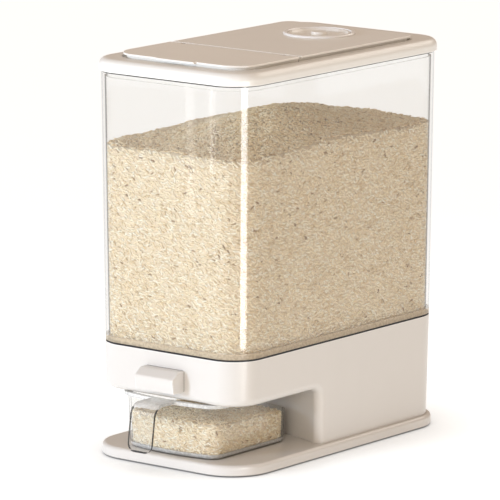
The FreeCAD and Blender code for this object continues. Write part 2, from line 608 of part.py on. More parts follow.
def arc_outline(owner, name, height, radius, half_width, far):
    """A sketch bounded by an arc round the alcove's axis, by straight sides and by an end at far."""
    drawn = sketch(owner, name, out=height)
    centre_y = -value(ARC_CENTRE)
    r = value(radius)
    w = value(half_width)
    end = value(far)
    arc_y = centre_y + math.sqrt(r * r - w * w)
    angle = math.asin(w / r)
    circle = Part.Circle(FreeCAD.Vector(0, centre_y, 0), FreeCAD.Vector(0, 0, 1), r)
    drawn.addGeometry(Part.ArcOfCircle(circle, math.pi / 2 - angle, math.pi / 2 + angle))
    corners = [(-w, arc_y), (-w, end), (w, end), (w, arc_y)]
    for first, second in zip(corners, corners[1:]):
        drawn.addGeometry(Part.LineSegment(FreeCAD.Vector(*first, 0), FreeCAD.Vector(*second, 0)))
    for first, second in (((0, 2), (1, 1)), ((1, 2), (2, 1)), ((2, 2), (3, 1)), ((3, 2), (0, 1))):
        drawn.addConstraint(Sketcher.Constraint("Coincident", *first, *second))
    for edge, kind in ((1, "Vertical"), (2, "Horizontal"), (3, "Vertical")):
        drawn.addConstraint(Sketcher.Constraint(kind, edge))
    dimension(drawn, "arc_radius", "Radius", 0, expression=radius)
    place_point(drawn, "arc_centre_", 0, 3, "0", "-" + ARC_CENTRE)
    place_point(drawn, "far_end_", 2, 1, "-(%s)" % half_width, far)
    dimension(drawn, "far_width", "DistanceX", 2, 1, 2, 2, expression="2 * (%s)" % half_width)
    return drawn


def lower_room_plan(owner, name, height):
    """The room behind the alcove at a height: the alcove's arc in front, straight sides and four round corners."""
    drawn = sketch(owner, name, out=height)
    radius = "(Sizes.alcove_radius + Sizes.base_wall)"
    near_radius = "(Sizes.band_round - Sizes.base_wall)"
    rear_radius = "(Sizes.body_corner - Sizes.base_wall)"
    half = at_height(height, "(Sizes.body_width / 2)", "(Sizes.body_width / 2 - Sizes.side_lean)")
    half = "(%s - Sizes.base_wall)" % half
    rear = at_height(height, "(Sizes.body_depth / 2)", "(Sizes.body_depth / 2 - Sizes.rear_lean)")
    rear = "(%s - Sizes.base_wall)" % rear
    cy = -value(ARC_CENTRE)
    big = value(radius)
    near = value(near_radius)
    back = value(rear_radius)
    w = value(half)
    y = value(rear)
    corner_y = cy + math.sqrt((big + near) ** 2 - (w - near) ** 2)
    turn = math.atan2(corner_y - cy, w - near)
    add_arc(drawn, 0, cy, big, turn, math.pi - turn)
    add_arc(drawn, w - near, corner_y, near, math.pi + turn, 2 * math.pi)
    add_line(drawn, w, corner_y, w, y - back)
    add_arc(drawn, w - back, y - back, back, 0, math.pi / 2)
    add_line(drawn, w - back, y, back - w, y)
    add_arc(drawn, back - w, y - back, back, math.pi / 2, math.pi)
    add_line(drawn, -w, y - back, -w, corner_y)
    add_arc(drawn, near - w, corner_y, near, math.pi, 2 * math.pi - turn)
    for ends in ((0, 1, 1, 1), (7, 2, 0, 2)):
        drawn.addConstraint(Sketcher.Constraint("Tangent", *ends))
    for edge in range(1, 7):
        drawn.addConstraint(Sketcher.Constraint("Tangent", edge, 2, edge + 1, 1))
    finish_plan(drawn, radius, near_radius, rear_radius, "-" + ARC_CENTRE, half)
    dimension(drawn, "rear", "DistanceY", -1, 1, 4, 1, expression=rear)
    return drawn


def add_arc(drawn, right, up, radius, begin, end):
    """Adds an arc between two angles."""
    circle = Part.Circle(FreeCAD.Vector(right, up, 0), FreeCAD.Vector(0, 0, 1), radius)
    drawn.addGeometry(Part.ArcOfCircle(circle, begin, end))


def add_line(drawn, *ends):
    """Adds a line between two points."""
    drawn.addGeometry(Part.LineSegment(FreeCAD.Vector(*ends[:2], 0), FreeCAD.Vector(*ends[2:], 0)))


def finish_plan(drawn, radius, near_radius, rear_radius, centre_y, half):
    """Sizes a plan of eight edges: a wide arc, then in turn a corner, a side, a corner, the rear and the same back."""
    for edge, kind in ((2, "Vertical"), (4, "Horizontal"), (6, "Vertical")):
        drawn.addConstraint(Sketcher.Constraint(kind, edge))
    drawn.addConstraint(Sketcher.Constraint("Equal", 1, 7))
    drawn.addConstraint(Sketcher.Constraint("Equal", 3, 5))
    dimension(drawn, "wide_radius", "Radius", 0, expression=radius)
    dimension(drawn, "near_radius", "Radius", 1, expression=near_radius)
    dimension(drawn, "rear_radius", "Radius", 3, expression=rear_radius)
    place_point(drawn, "wide_centre_", 0, 3, "0", centre_y)
    dimension(drawn, "width", "DistanceX", 6, 1, 2, 1, expression="2 * " + half)


def radius_of(edge):
    """How far the middle of an edge lies from the alcove's axis."""
    middle = edge.valueAt((edge.FirstParameter + edge.LastParameter) / 2)
    return middle.distanceToPoint(FreeCAD.Vector(0, -value(ARC_CENTRE), middle.z))


def is_arc(edge):
    """True for an edge along the alcove's back wall."""
    return abs(radius_of(edge) - value("Sizes.alcove_radius")) < 0.05


def is_band_edge(edge):
    """True for the outer edge that runs up one side of the alcove, round the band and down the other side."""
    middle = edge.valueAt((edge.FirstParameter + edge.LastParameter) / 2)
    low = value(PLATE_TOP)
    high = value(CEILING_LOW)
    if not (low < middle.z < high + 0.05) or middle.y > -value("Sizes.alcove_reach") or edge.BoundBox.ZMin < low - 0.1:
        return False
    half_width = value(at_height(str(middle.z), "Sizes.body_width", "Sizes.body_width - 2 * Sizes.side_lean")) / 2
    half_depth = value(FRONT)
    corner = value("Sizes.body_corner")
    right = max(abs(middle.x) - (half_width - corner), 0)
    ahead = max(-middle.y - (half_depth - corner), 0)
    return abs(math.hypot(right, ahead) - corner) < 0.1


def base_housing():
    """The moulded housing: a shell with an arc-walled alcove under its front band, bosses and spring stops."""
    made = body("base_housing")
    wall = "Sizes.base_wall"
    foot = base_outline(made, "foot_outline", PLATE_TOP, "0")
    seam = base_outline(made, "seam_outline", SEAM, "0")
    loft(made, "outside", foot, seam)
    floor = base_outline(made, "room_floor", CEILING_TOP, wall)
    mouth = base_outline(made, "room_mouth", SEAM, wall)
    loft(made, "upper_room", floor, mouth, cut=True)
    soften(made, "room_edge", "Sizes.band_round - Sizes.base_wall", level(CEILING_TOP))
    low_plan = lower_room_plan(made, "lower_foot_plan", PLATE_TOP)
    high_plan = lower_room_plan(made, "lower_head_plan", "(%s + Sizes.band_round - Sizes.base_wall)" % CEILING_TOP)
    loft(made, "lower_room", low_plan, high_plan, cut=True)
    alcove = arc_outline(made, "alcove_plan", CEILING_LOW, "Sizes.alcove_radius", "Sizes.body_width * 0.8", "-Sizes.body_depth")
    pocket(made, "alcove", alcove, "%s - %s + 1" % (CEILING_LOW, PLATE_TOP))
    on_arc = reaches("Y", low="-%s + Sizes.alcove_radius * 0.6" % ARC_CENTRE, high="0")
    soften(made, "alcove_ceiling_edge", "Sizes.alcove_round", level(CEILING_LOW, on_arc, is_arc))
    soften(made, "band_edge", "Sizes.band_round", is_band_edge)
    button = rounded(
        made,
        "button_outline",
        "Sizes.button_width + 2 * Sizes.button_play",
        "Sizes.button_height + 2 * Sizes.button_play",
        "1.2",
        along=BUTTON_MIDDLE,
        out="%s + 1" % FRONT,
        plane="XZ_Plane",
    )
    pocket(made, "button_hole", button, "Sizes.base_wall + 4")
    outlet = rounded(
        made,
        "outlet_outline",
        "Sizes.mouth_width + 2 * Sizes.outlet_margin",
        "Sizes.mouth_length + 2 * Sizes.outlet_margin",
        "Sizes.mouth_corner + Sizes.outlet_margin",
        along="-" + MOUTH_REACH,
        out="%s + 1" % CEILING_TOP,
    )
    pocket(made, "outlet", outlet, "Sizes.base_wall + 2")
    rise = "%s - %s + 0.8" % (FLANGE_LOW, CEILING_TOP)
    pillars(made, "tray_bosses", "Sizes.tray_boss_radius", TRAY_BOSSES, "%s - 0.8" % CEILING_TOP, rise)
    holes(made, "tray_pilots", "Sizes.screw_radius + Sizes.screw_play", TRAY_BOSSES, FLANGE_LOW, "Sizes.screw_grip + 1")
    pillars(made, "foot_bosses", "Sizes.boss_radius", FOOT_BOSSES, PLATE_TOP, "Sizes.foot_boss_height")
    holes(
        made,
        "foot_pilots",
        "Sizes.screw_radius + Sizes.screw_play",
        FOOT_BOSSES,
        "%s + Sizes.screw_grip + 1" % PLATE_TOP,
        "Sizes.screw_grip + 2",
    )
    holes(
        made,
        "rail_pilots",
        "Sizes.small_screw_radius + Sizes.screw_play",
        RAIL_SCREWS,
        "%s + 1" % CEILING_TOP,
        "Sizes.base_wall",
    )
    for number, side in enumerate(SPRINGS):
        stop = sketch(made, "spring_stop_outline_%d" % number, "XZ_Plane", side, "0", SPRING_REACH)
        half_stop = "Sizes.spring_stop_width / 2"
        top = "%s + Sizes.spring_lift + Sizes.spring_radius + 1" % CEILING_TOP
        low = "%s - 0.8" % CEILING_TOP
        add_polygon(stop, "stop", (("-" + half_stop, low), (half_stop, low), (half_stop, top), ("-" + half_stop, top)))
        pad(made, "spring_stop_%d" % number, stop, "Sizes.spring_stop_thick").Reversed = True
        pin = sketch(made, "spring_pin_outline_%d" % number, "XZ_Plane", side, SPRING_HEIGHT, SPRING_REACH + " - 0.5")
        add_circle(pin, "pin", "Sizes.spring_pin_radius")
        pad(made, "spring_pin_%d" % number, pin, "Sizes.spring_pin_length + 0.5")
    return made


# ---------------------------------------------------------------- funnel and outlet

LIP_INSET = "(Sizes.base_wall + 2 * Sizes.fit_gap + Sizes.spigot_wall)"


def mouth_outline(owner, name, height, grow):
    """The outlet mouth's outline, grown all round, as a sketch at a height."""
    return rounded(
        owner,
        name,
        "Sizes.mouth_width + 2 * (%s)" % grow,
        "Sizes.mouth_length + 2 * (%s)" % grow,
        "Sizes.mouth_corner + (%s)" % grow,
        along="-" + MOUTH_REACH,
        out=height,
    )


def seam_outline(owner, name, height, inset):
    """The body's outline at the seam, set in, as a sketch at a height."""
    return rounded(
        owner,
        name,
        "Sizes.body_width - 2 * (%s)" % inset,
        "Sizes.body_depth - 2 * (%s)" % inset,
        "Sizes.body_corner - (%s)" % inset,
        out=height,
    )


def funnel_tray():
    """The sloping floor under the bin: a pegged flange on the bosses, a lip inside the spigot and one mouth."""
    made = body("funnel_tray")
    outer = "(Sizes.base_wall + Sizes.fit_gap)"
    inner = "(%s + Sizes.tray_wall)" % LIP_INSET
    low_rim = "(%s - Sizes.tray_floor)" % TRAY_TOP
    under_mouth = mouth_outline(made, "under_mouth", MOUTH_TOP, "Sizes.mouth_wall")
    under_rim = seam_outline(made, "under_rim", low_rim, LIP_INSET)
    loft(made, "under_side", under_mouth, under_rim)
    pad(made, "lip", seam_outline(made, "lip_outline", low_rim, LIP_INSET), "Sizes.tray_floor")
    neck = mouth_outline(made, "neck_outline", MOUTH_LOW, "Sizes.mouth_wall")
    pad(made, "neck", neck, "Sizes.tray_floor")
    flange = body_ring(made, "flange_outline", FLANGE_LOW, outer, "%s + Sizes.flange_width" % outer)
    pad(made, "flange", flange, "Sizes.flange_thick")
    pillars(made, "pegs", "Sizes.screw_radius", TRAY_BOSSES, "%s - Sizes.peg_length" % FLANGE_LOW, "Sizes.peg_length + 1")
    web = body_ring(made, "web_outline", FLANGE_LOW, LIP_INSET, inner)
    pad(made, "web", web, "%s - %s" % (low_rim, FLANGE_LOW))
    over_mouth = mouth_outline(made, "over_mouth", "%s + Sizes.tray_floor" % MOUTH_TOP, "0")
    over_rim = seam_outline(made, "over_rim", TRAY_TOP, inner)
    loft(made, "bowl", over_mouth, over_rim, cut=True)
    throat = mouth_outline(made, "throat_outline", "%s + Sizes.tray_floor + 0.1" % MOUTH_TOP, "0")
    pocket(made, "throat", throat, "2 * Sizes.tray_floor + 1")
    return made


def wiper_seal():
    """The soft ring round the outlet mouth, just over the gate."""
    made = body("wiper_seal")
    drawn = sketch(made, "outline", along="-" + MOUTH_REACH, out="%s + Sizes.wiper_gap" % GATE_TOP)
    inner = "(Sizes.mouth_wall + Sizes.screw_play)"
    for tag, grow in (("outer", "(%s + Sizes.wiper_width)" % inner), ("inner", inner)):
        add_rounded(
            drawn,
            tag,
            "Sizes.mouth_width + 2 * %s" % grow,
            "Sizes.mouth_length + 2 * %s" % grow,
            "Sizes.mouth_corner + %s" % grow,
        )
    pad(made, "ring", drawn, "Sizes.wiper_height")
    return made


def bin_seal():
    """The black gasket between the housing and the clear bin."""
    made = body("bin_seal")
    inner = "Sizes.base_wall + Sizes.fit_gap - Sizes.screw_play"
    pad(made, "ring", body_ring(made, "outline", SEAM, "Sizes.seal_inset", inner), "Sizes.seam_seal")
    return made


# ---------------------------------------------------------------- bin


def bin_outline(owner, name, height, inset, share):
    """The bin's outline, set in, as a sketch. share runs from 0 at the foot of the wall to 1 at the shoulder."""
    return rounded(
        owner,
        name,
        "Sizes.body_width + 2 * (%s) * Sizes.bin_side_draft - 2 * (%s)" % (share, inset),
        "Sizes.body_depth + 2 * (%s) * Sizes.bin_end_draft - 2 * (%s)" % (share, inset),
        "Sizes.body_corner + (%s) * (Sizes.bin_top_corner - Sizes.body_corner) - (%s)" % (share, inset),
        out=height,
    )


def grain_bin():
    """The clear bin: drafted walls, a thick sill and shoulder, a neck for the lid and a spigot into the housing."""
    made = body("grain_bin")
    foot = bin_outline(made, "foot", BIN_LOW, "0", "0")
    shoulder = bin_outline(made, "shoulder", SHOULDER, "0", "1")
    loft(made, "outside", foot, shoulder)
    neck = bin_outline(made, "neck_outline", SHOULDER, "Sizes.neck_inset", "1")
    pad(made, "neck", neck, "Sizes.neck_height")
    spigot_out = "Sizes.base_wall + Sizes.fit_gap"
    spigot = seam_outline(made, "spigot_outline", "%s - Sizes.spigot_depth" % BIN_LOW, spigot_out)
    pad(made, "spigot", spigot, "Sizes.spigot_depth + 0.5")
    low_share = "Sizes.bin_sill / Sizes.bin_height"
    high_share = "1 - Sizes.shoulder_thick / Sizes.bin_height"
    floor = bin_outline(made, "room_floor", "%s + Sizes.bin_sill" % BIN_LOW, "Sizes.bin_wall", low_share)
    roof = bin_outline(made, "room_roof", "%s - Sizes.shoulder_thick" % SHOULDER, "Sizes.bin_wall", high_share)
    loft(made, "room", floor, roof, cut=True)
    mouth = bin_outline(made, "mouth_outline", "%s + 1" % NECK_TOP, "Sizes.neck_inset + Sizes.neck_wall", "1")
    pocket(made, "mouth", mouth, "Sizes.neck_height + Sizes.shoulder_thick + 2")
    throat_top = "%s + Sizes.bin_sill + 0.5" % BIN_LOW
    throat = seam_outline(made, "throat_outline", throat_top, "%s + Sizes.spigot_wall" % spigot_out)
    pocket(made, "throat", throat, "Sizes.spigot_depth + Sizes.bin_sill + 2")
    return made


# ---------------------------------------------------------------- gate and button


def shutter_gate():
    """The sliding plate under the mouth: its window lies in front of the mouth until the button is pressed."""
    made = body("shutter_gate")
    tail = "(%s - Sizes.mouth_length / 2 - Sizes.gate_tail)" % MOUTH_REACH
    plate = rounded(
        made,
        "plate_outline",
        "Sizes.gate_width",
        "%s - %s" % (BAR_REAR, tail),
        "Sizes.mouth_corner",
        along="-(%s + %s) / 2" % (BAR_REAR, tail),
        out=GATE_LOW,
    )
    pad(made, "plate", plate, "Sizes.gate_thick")
    window = rounded(
        made,
        "window_outline",
        "Sizes.mouth_width",
        "Sizes.mouth_length",
        "Sizes.mouth_corner",
        along="-(%s + %s)" % (MOUTH_REACH, TRAVEL),
        out="%s + 1" % GATE_TOP,
    )
    pocket(made, "window", window, "Sizes.gate_thick + 2")
    tab = rounded(
        made,
        "tab_outline",
        "Sizes.gate_tab_width",
        "Sizes.gate_tab_height",
        "Sizes.mouth_corner / 2",
        along="%s + Sizes.gate_tab_height / 2" % GATE_LOW,
        out=BAR_REAR,
        plane="XZ_Plane",
    )
    pad(made, "tab", tab, "Sizes.gate_thick").Reversed = True
    drawn = sketch(made, "tab_hole_outline", "XZ_Plane", "0", YOKE_SCREW_HEIGHT, "%s - Sizes.gate_thick - 1" % BAR_REAR)
    for number, side in enumerate(YOKE_SCREWS):
        add_circle(drawn, "hole_%d" % number, "Sizes.small_screw_radius + Sizes.screw_play", side)
    pocket(made, "tab_holes", drawn, "Sizes.gate_thick + 2").Reversed = True
    return made


def gate_guide(label, side):
    """A rail that one edge of the gate slides in. side is empty for the right rail and a minus for the left one."""
    made = body(label)
    near = "(Sizes.gate_width / 2 + Sizes.run_gap)"
    far = "(%s + Sizes.rail_width)" % near
    lip = "(Sizes.gate_width / 2 - Sizes.rail_lip)"
    step = MOUTH_LOW
    top = "(%s + Sizes.rail_lip_thick)" % step
    corners = ((near, CEILING_TOP), (far, CEILING_TOP), (far, top), (lip, top), (lip, step), (near, step))
    drawn = sketch(made, "outline", "XZ_Plane", out=RAIL_REACH)
    add_polygon(drawn, "rail", tuple((side + right, up) for right, up in corners))
    pad(made, "rail", drawn, "Sizes.rail_length").Reversed = True
    spots = RAIL_SCREWS[2:] if side else RAIL_SCREWS[:2]
    radius = "Sizes.small_screw_radius + Sizes.screw_play"
    holes(made, "screw_holes", radius, spots, "%s + 1" % top, "%s - %s + 2" % (top, CEILING_TOP))
    return made


def guide_screws():
    """Screws that hold the two rails down on the alcove's ceiling."""
    made = body("guide_screws")
    top = "(%s + Sizes.rail_lip_thick)" % MOUTH_LOW
    for number, (right, back) in enumerate(RAIL_SCREWS):
        screw(
            made,
            "screw_%d" % number,
            "up",
            (right, back, top),
            "Sizes.small_screw_radius",
            "Sizes.small_head_radius",
            "Sizes.small_head_thick",
            "%s - %s + Sizes.base_wall / 2" % (top, CEILING_TOP),
        )
    return made


def button_side(owner, name, rear, inset):
    """The push button seen from its side, set in, open towards a rear place."""
    face = "-(%s - (%s)" % (FRONT, inset)
    top = "(%s - %s)" % (BUTTON_TOP, inset)
    low = "(%s + %s)" % (BUTTON_LOW, inset)
    drawn = sketch(owner, name, "YZ_Plane")
    corners = (
        ("-(%s)" % rear, low),
        ("-(%s)" % rear, top),
        (face + " + Sizes.button_top_reach)", top),
        (face + " + Sizes.button_reach)", "(%s - Sizes.button_brow_drop + %s / 2)" % (top, inset)),
        (face + " + Sizes.button_low_reach)", low),
    )
    add_polygon(drawn, "side", corners)
    return drawn


def across(reach, height, width):
    """A test for the edges that run across the dispenser at one place seen from the side."""
    y = -value(reach)
    z = value(height)
    w = value(width)

    def test(edge):
        box = edge.BoundBox
        return box.XLength > w - 0.5 and abs(box.YMin - y) < 0.1 and abs(box.ZMin - z) < 0.1 and box.ZLength < 0.1

    return test


def button_cap():
    """The push button: a hollow cap with a flat top and a sloping brow."""
    made = body("button_cap")
    width = "Sizes.button_width"
    pad(made, "outside", button_side(made, "outside_profile", STOP_FRONT, "0"), width, both=True)
    brow_height = "%s - Sizes.button_brow_drop" % BUTTON_TOP
    soften(made, "brow", "Sizes.button_round", across("%s + Sizes.button_reach" % FRONT, brow_height, width))
    ridge = across("%s + Sizes.button_top_reach" % FRONT, BUTTON_TOP, width)
    soften(made, "ridge", "Sizes.button_round * 0.75", ridge)
    low = across("%s + Sizes.button_low_reach" % FRONT, BUTTON_LOW, width)
    soften(made, "low_edge", "Sizes.button_round / 4", low)
    at_side = lambda e: e.BoundBox.XLength < 0.05 and e.BoundBox.YMax < -value(STOP_FRONT) + 0.05
    soften(made, "side_edges", "Sizes.button_round / 8", lambda e: at_side(e) and e.BoundBox.YLength > 0.05)
    hollow = button_side(made, "hollow_profile", "%s - 1" % STOP_FRONT, "Sizes.button_wall")
    pocket(made, "hollow", hollow, "Sizes.button_width - 2 * Sizes.button_wall", both=True)
    return made


def button_yoke():
    """The bar behind the band: a plug in the cap, a stop against the band's wall and arms that meet the springs."""
    made = body("button_yoke")
    bar_low = "(%s + Sizes.yoke_bar_lift)" % CEILING_TOP
    bar = rounded(
        made,
        "bar_outline",
        "Sizes.yoke_bar_width",
        "Sizes.yoke_bar_height",
        "Sizes.mouth_corner",
        along="%s + Sizes.yoke_bar_height / 2" % bar_low,
        out=BAR_FRONT,
        plane="XZ_Plane",
    )
    pad(made, "bar", bar, "Sizes.yoke_bar_thick").Reversed = True
    stop = rounded(
        made,
        "stop_outline",
        "Sizes.button_width + 2 * Sizes.yoke_stop_side",
        "Sizes.button_height + 2 * Sizes.yoke_stop_over",
        "Sizes.mouth_corner",
        along=BUTTON_MIDDLE,
        out=STOP_FRONT,
        plane="XZ_Plane",
    )
    pad(made, "stop", stop, "Sizes.yoke_stop_thick").Reversed = True
    plug_inset = "(Sizes.button_wall + Sizes.screw_play)"
    plug = rounded(
        made,
        "plug_outline",
        "Sizes.button_width - 2 * %s" % plug_inset,
        "Sizes.button_height - 2 * %s" % plug_inset,
        "Sizes.mouth_corner / 2",
        along=BUTTON_MIDDLE,
        out="%s + Sizes.button_top_reach / 2" % FRONT,
        plane="XZ_Plane",
    )
    plug_length = "%s + Sizes.button_top_reach / 2 - %s" % (FRONT, STOP_FRONT)
    pad(made, "plug", plug, plug_length).Reversed = True
    pins = sketch(made, "pin_outline", "XZ_Plane", "0", SPRING_HEIGHT, BAR_REAR)
    for number, side in enumerate(SPRINGS):
        add_circle(pins, "pin_%d" % number, "Sizes.spring_pin_radius", side)
    pad(made, "pins", pins, "Sizes.spring_pin_length").Reversed = True
    pilots = sketch(made, "pilot_outline", "XZ_Plane", "0", YOKE_SCREW_HEIGHT, BAR_REAR)
    for number, side in enumerate(YOKE_SCREWS):
        add_circle(pilots, "pilot_%d" % number, "Sizes.small_screw_radius + Sizes.screw_play", side)
    pocket(made, "pilots", pilots, "Sizes.screw_grip").Reversed = True
    return made


def yoke_screws():
    """Screws that hold the gate's tab to the yoke."""
    made = body("yoke_screws")
    for number, side in enumerate(YOKE_SCREWS):
        screw(
            made,
            "screw_%d" % number,
            "rear",
            (side, "-(%s - Sizes.gate_thick)" % BAR_REAR, YOKE_SCREW_HEIGHT),
            "Sizes.small_screw_radius",
            "Sizes.small_head_radius",
            "Sizes.small_head_thick",
            "Sizes.gate_thick + Sizes.screw_grip - 1",
        )
    return made


def return_spring(label, side):
    """A coil spring between the yoke's bar and its stop in the housing."""
    span = "(%s - %s - 2 * Sizes.spring_wire)" % (BAR_REAR, SPRING_REACH)
    coil = doc.addObject("Part::Helix", label + "_line")
    coil.setExpression("Radius", "Sizes.spring_radius")
    coil.setExpression("Height", span)
    coil.setExpression("Pitch", "%s / Sizes.spring_turns" % span)
    wire = doc.addObject("Part::RegularPolygon", label + "_wire")
    wire.Polygon = 6
    wire.setExpression("Circumradius", "Sizes.spring_wire")
    wire.setExpression("Placement.Base.x", "Sizes.spring_radius")
    wire.Placement.Rotation = FreeCAD.Rotation(FreeCAD.Vector(1, 0, 0), 90)
    made = doc.addObject("Part::Sweep", label)
    made.Label = label
    made.Sections = [wire]
    made.Spine = (coil, [])
    made.Solid = True
    made.Frenet = True
    made.Placement.Rotation = FreeCAD.Rotation(FreeCAD.Vector(1, 0, 0), -90)
    made.setExpression("Placement.Base.x", side)
    made.setExpression("Placement.Base.y", "-(%s - Sizes.spring_wire)" % BAR_REAR)
    made.setExpression("Placement.Base.z", SPRING_HEIGHT)
    return made


# ---------------------------------------------------------------- cup


def cup_plan(owner, name, height, grow):
    """The cup's outline in plan, grown all round: a bowed front, straight sides and rounded corners."""
    drawn = sketch(owner, name, out=height)
    front_radius = "(Sizes.cup_front_radius + (%s))" % grow
    centre_y = "(Sizes.cup_front_radius - Sizes.cup_front)"
    half = "(Sizes.cup_half_width + (%s))" % grow
    near_radius = "(Sizes.cup_front_corner + (%s))" % grow
    rear_radius = "(Sizes.cup_rear_corner + (%s))" % grow
    rear = "(Sizes.cup_rear - (%s))" % grow
    big = value(front_radius)
    near = value(near_radius)
    back = value(rear_radius)
    w = value(half)
    y = -value(rear)
    cy = value(centre_y)
    corner_y = cy - math.sqrt((big - near) ** 2 - (w - near) ** 2)
    turn = math.atan2(corner_y - cy, w - near)

    add_arc(drawn, 0, cy, big, math.pi - turn, 2 * math.pi + turn)
    add_arc(drawn, w - near, corner_y, near, turn, 0)
    add_line(drawn, w, corner_y, w, y - back)
    add_arc(drawn, w - back, y - back, back, 0, math.pi / 2)
    add_line(drawn, w - back, y, back - w, y)
    add_arc(drawn, back - w, y - back, back, math.pi / 2, math.pi)
    add_line(drawn, -w, y - back, -w, corner_y)
    add_arc(drawn, near - w, corner_y, near, math.pi, math.pi - turn)
    for edge in range(8):
        drawn.addConstraint(Sketcher.Constraint("Tangent", edge, 2, (edge + 1) % 8, 1))
    finish_plan(drawn, front_radius, near_radius, rear_radius, centre_y, half)
    dimension(drawn, "rear", "DistanceY", 4, 1, -1, 1, expression=rear)
    return drawn


def measuring_cup():
    """The drawer cup: clear drafted walls, a rim flange, sides that fall to the rear and a bent strip handle."""
    made = body("measuring_cup")
    flare = "Sizes.cup_flare"
    loft(made, "outside", cup_plan(made, "foot_plan", PLATE_TOP, "0"), cup_plan(made, "head_plan", CUP_RIM_TOP, flare))
    pad(made, "rim", cup_plan(made, "rim_plan", CUP_RIM_LOW, "%s + Sizes.rim_width" % flare), "Sizes.rim_thick")
    soften(made, "foot_edge", "Sizes.cup_foot_round", level(PLATE_TOP))
    front = "(Sizes.cup_front + Sizes.cup_flare)"
    bend = "(Sizes.cup_front + Sizes.handle_reach)"
    thick = "Sizes.handle_thick"
    tip = "(%s + Sizes.handle_tip)" % PLATE_TOP
    under = "(%s - %s)" % (CUP_RIM_TOP, thick)
    strip = sketch(made, "handle_profile", "YZ_Plane")
    add_polygon(
        strip,
        "strip",
        (
            ("-(%s - Sizes.cup_wall / 2)" % front, CUP_RIM_TOP),
            ("-" + bend, CUP_RIM_TOP),
            ("-(%s + Sizes.handle_flare)" % bend, tip),
            ("-(%s + Sizes.handle_flare - %s)" % (bend, thick), tip),
            ("-(%s - %s)" % (bend, thick), under),
            ("-(%s - Sizes.cup_wall / 2)" % front, under),
        ),
    )
    pad(made, "handle", strip, "Sizes.handle_width", both=True)
    soften(made, "outer_bend", "Sizes.handle_bend", across(bend, CUP_RIM_TOP, "Sizes.handle_width"))
    inner_bend = across("%s - %s" % (bend, thick), under, "Sizes.handle_width")
    soften(made, "inner_bend", "Sizes.handle_bend - Sizes.handle_thick", inner_bend)
    at_tip = lambda e: e.BoundBox.XLength < 0.05 and e.BoundBox.YLength > 1 and e.BoundBox.ZLength < 0.1
    soften(made, "tip_corners", "Sizes.handle_corner", lambda e: at_tip(e) and abs(e.BoundBox.ZMin - value(tip)) < 0.1)
    inner_floor = cup_plan(made, "inner_floor_plan", "%s + Sizes.cup_floor" % PLATE_TOP, "-Sizes.cup_wall")
    inner_head = cup_plan(made, "inner_head_plan", CUP_RIM_TOP, "%s - Sizes.cup_wall" % flare)
    loft(made, "inside", inner_floor, inner_head, cut=True)
    soften(
        made,
        "inner_foot_edge",
        "Sizes.cup_foot_round - Sizes.cup_wall",
        level("%s + Sizes.cup_floor" % PLATE_TOP),
    )
    fall = sketch(made, "fall_profile", "YZ_Plane")
    low = "(%s + Sizes.slope_end_height)" % PLATE_TOP
    over = "(%s + 1)" % CUP_RIM_TOP
    add_polygon(
        fall,
        "fall",
        (
            ("-Sizes.slope_start", CUP_RIM_TOP),
            ("-(Sizes.cup_rear + Sizes.slope_end)", low),
            ("0", low),
            ("0", over),
            ("-Sizes.slope_start", over),
        ),
    )
    pocket(made, "fall", fall, "Sizes.body_width", both=True)
    return made


# ---------------------------------------------------------------- lid


def lid_outline(owner, name, height, inset):
    """The lid's outline, set in, as a sketch."""
    return rounded(
        owner,
        name,
        "Sizes.body_width + 2 * (Sizes.bin_side_draft + Sizes.lid_side_margin - (%s))" % inset,
        "Sizes.body_depth + 2 * (Sizes.bin_end_draft + Sizes.lid_end_margin - (%s))" % inset,
        "Sizes.lid_corner - (%s)" % inset,
        out=height,
    )


def panel_outline(owner, name, height, grow, front=PANEL_FRONT, corner="Sizes.panel_corner"):
    """The outline that flap and rear panel share, grown all round, as a sketch."""
    return rounded(
        owner,
        name,
        "2 * (%s + (%s))" % (PANEL_SIDE, grow),
        "%s + %s + 2 * (%s)" % (front, PANEL_REAR, grow),
        "%s + (%s)" % (corner, grow),
        along="(%s - %s) / 2" % (PANEL_REAR, front),
        out=height,
    )


def rear_outline(owner, name, height, grow):
    """The rear part of that outline, with its own corners, from beyond the seam."""
    front = "(Sizes.panel_seam + 2 * Sizes.panel_rear_corner)"
    return panel_outline(owner, name, height, grow, front, "Sizes.panel_rear_corner")


def fill_outline(owner, name, height, inset):
    """The filling opening's outline, set in, as a sketch."""
    return rounded(
        owner,
        name,
        "%s - 2 * (%s)" % (FILL_WIDTH, inset),
        "%s - Sizes.fill_rear - 2 * (%s)" % (FILL_FRONT, inset),
        "Sizes.fill_corner - (%s)" % inset,
        along="-(%s + Sizes.fill_rear) / 2" % FILL_FRONT,
        out=height,
    )


def lid_seal():
    """The dark gasket between the bin's shoulder and the lid."""
    made = body("lid_seal")
    drawn = sketch(made, "outline", out=SHOULDER)
    for tag, inset in (("outer", "Sizes.seal_inset"), ("inner", "(Sizes.neck_inset - Sizes.fit_gap)")):
        add_rounded(
            drawn,
            tag,
            "Sizes.body_width + 2 * (Sizes.bin_side_draft - %s)" % inset,
            "Sizes.body_depth + 2 * (Sizes.bin_end_draft - %s)" % inset,
            "Sizes.bin_top_corner - %s" % inset,
        )
    pad(made, "ring", drawn, "Sizes.lid_seal")
    return made


EARS = (HINGE_SIDE, "-" + HINGE_SIDE)


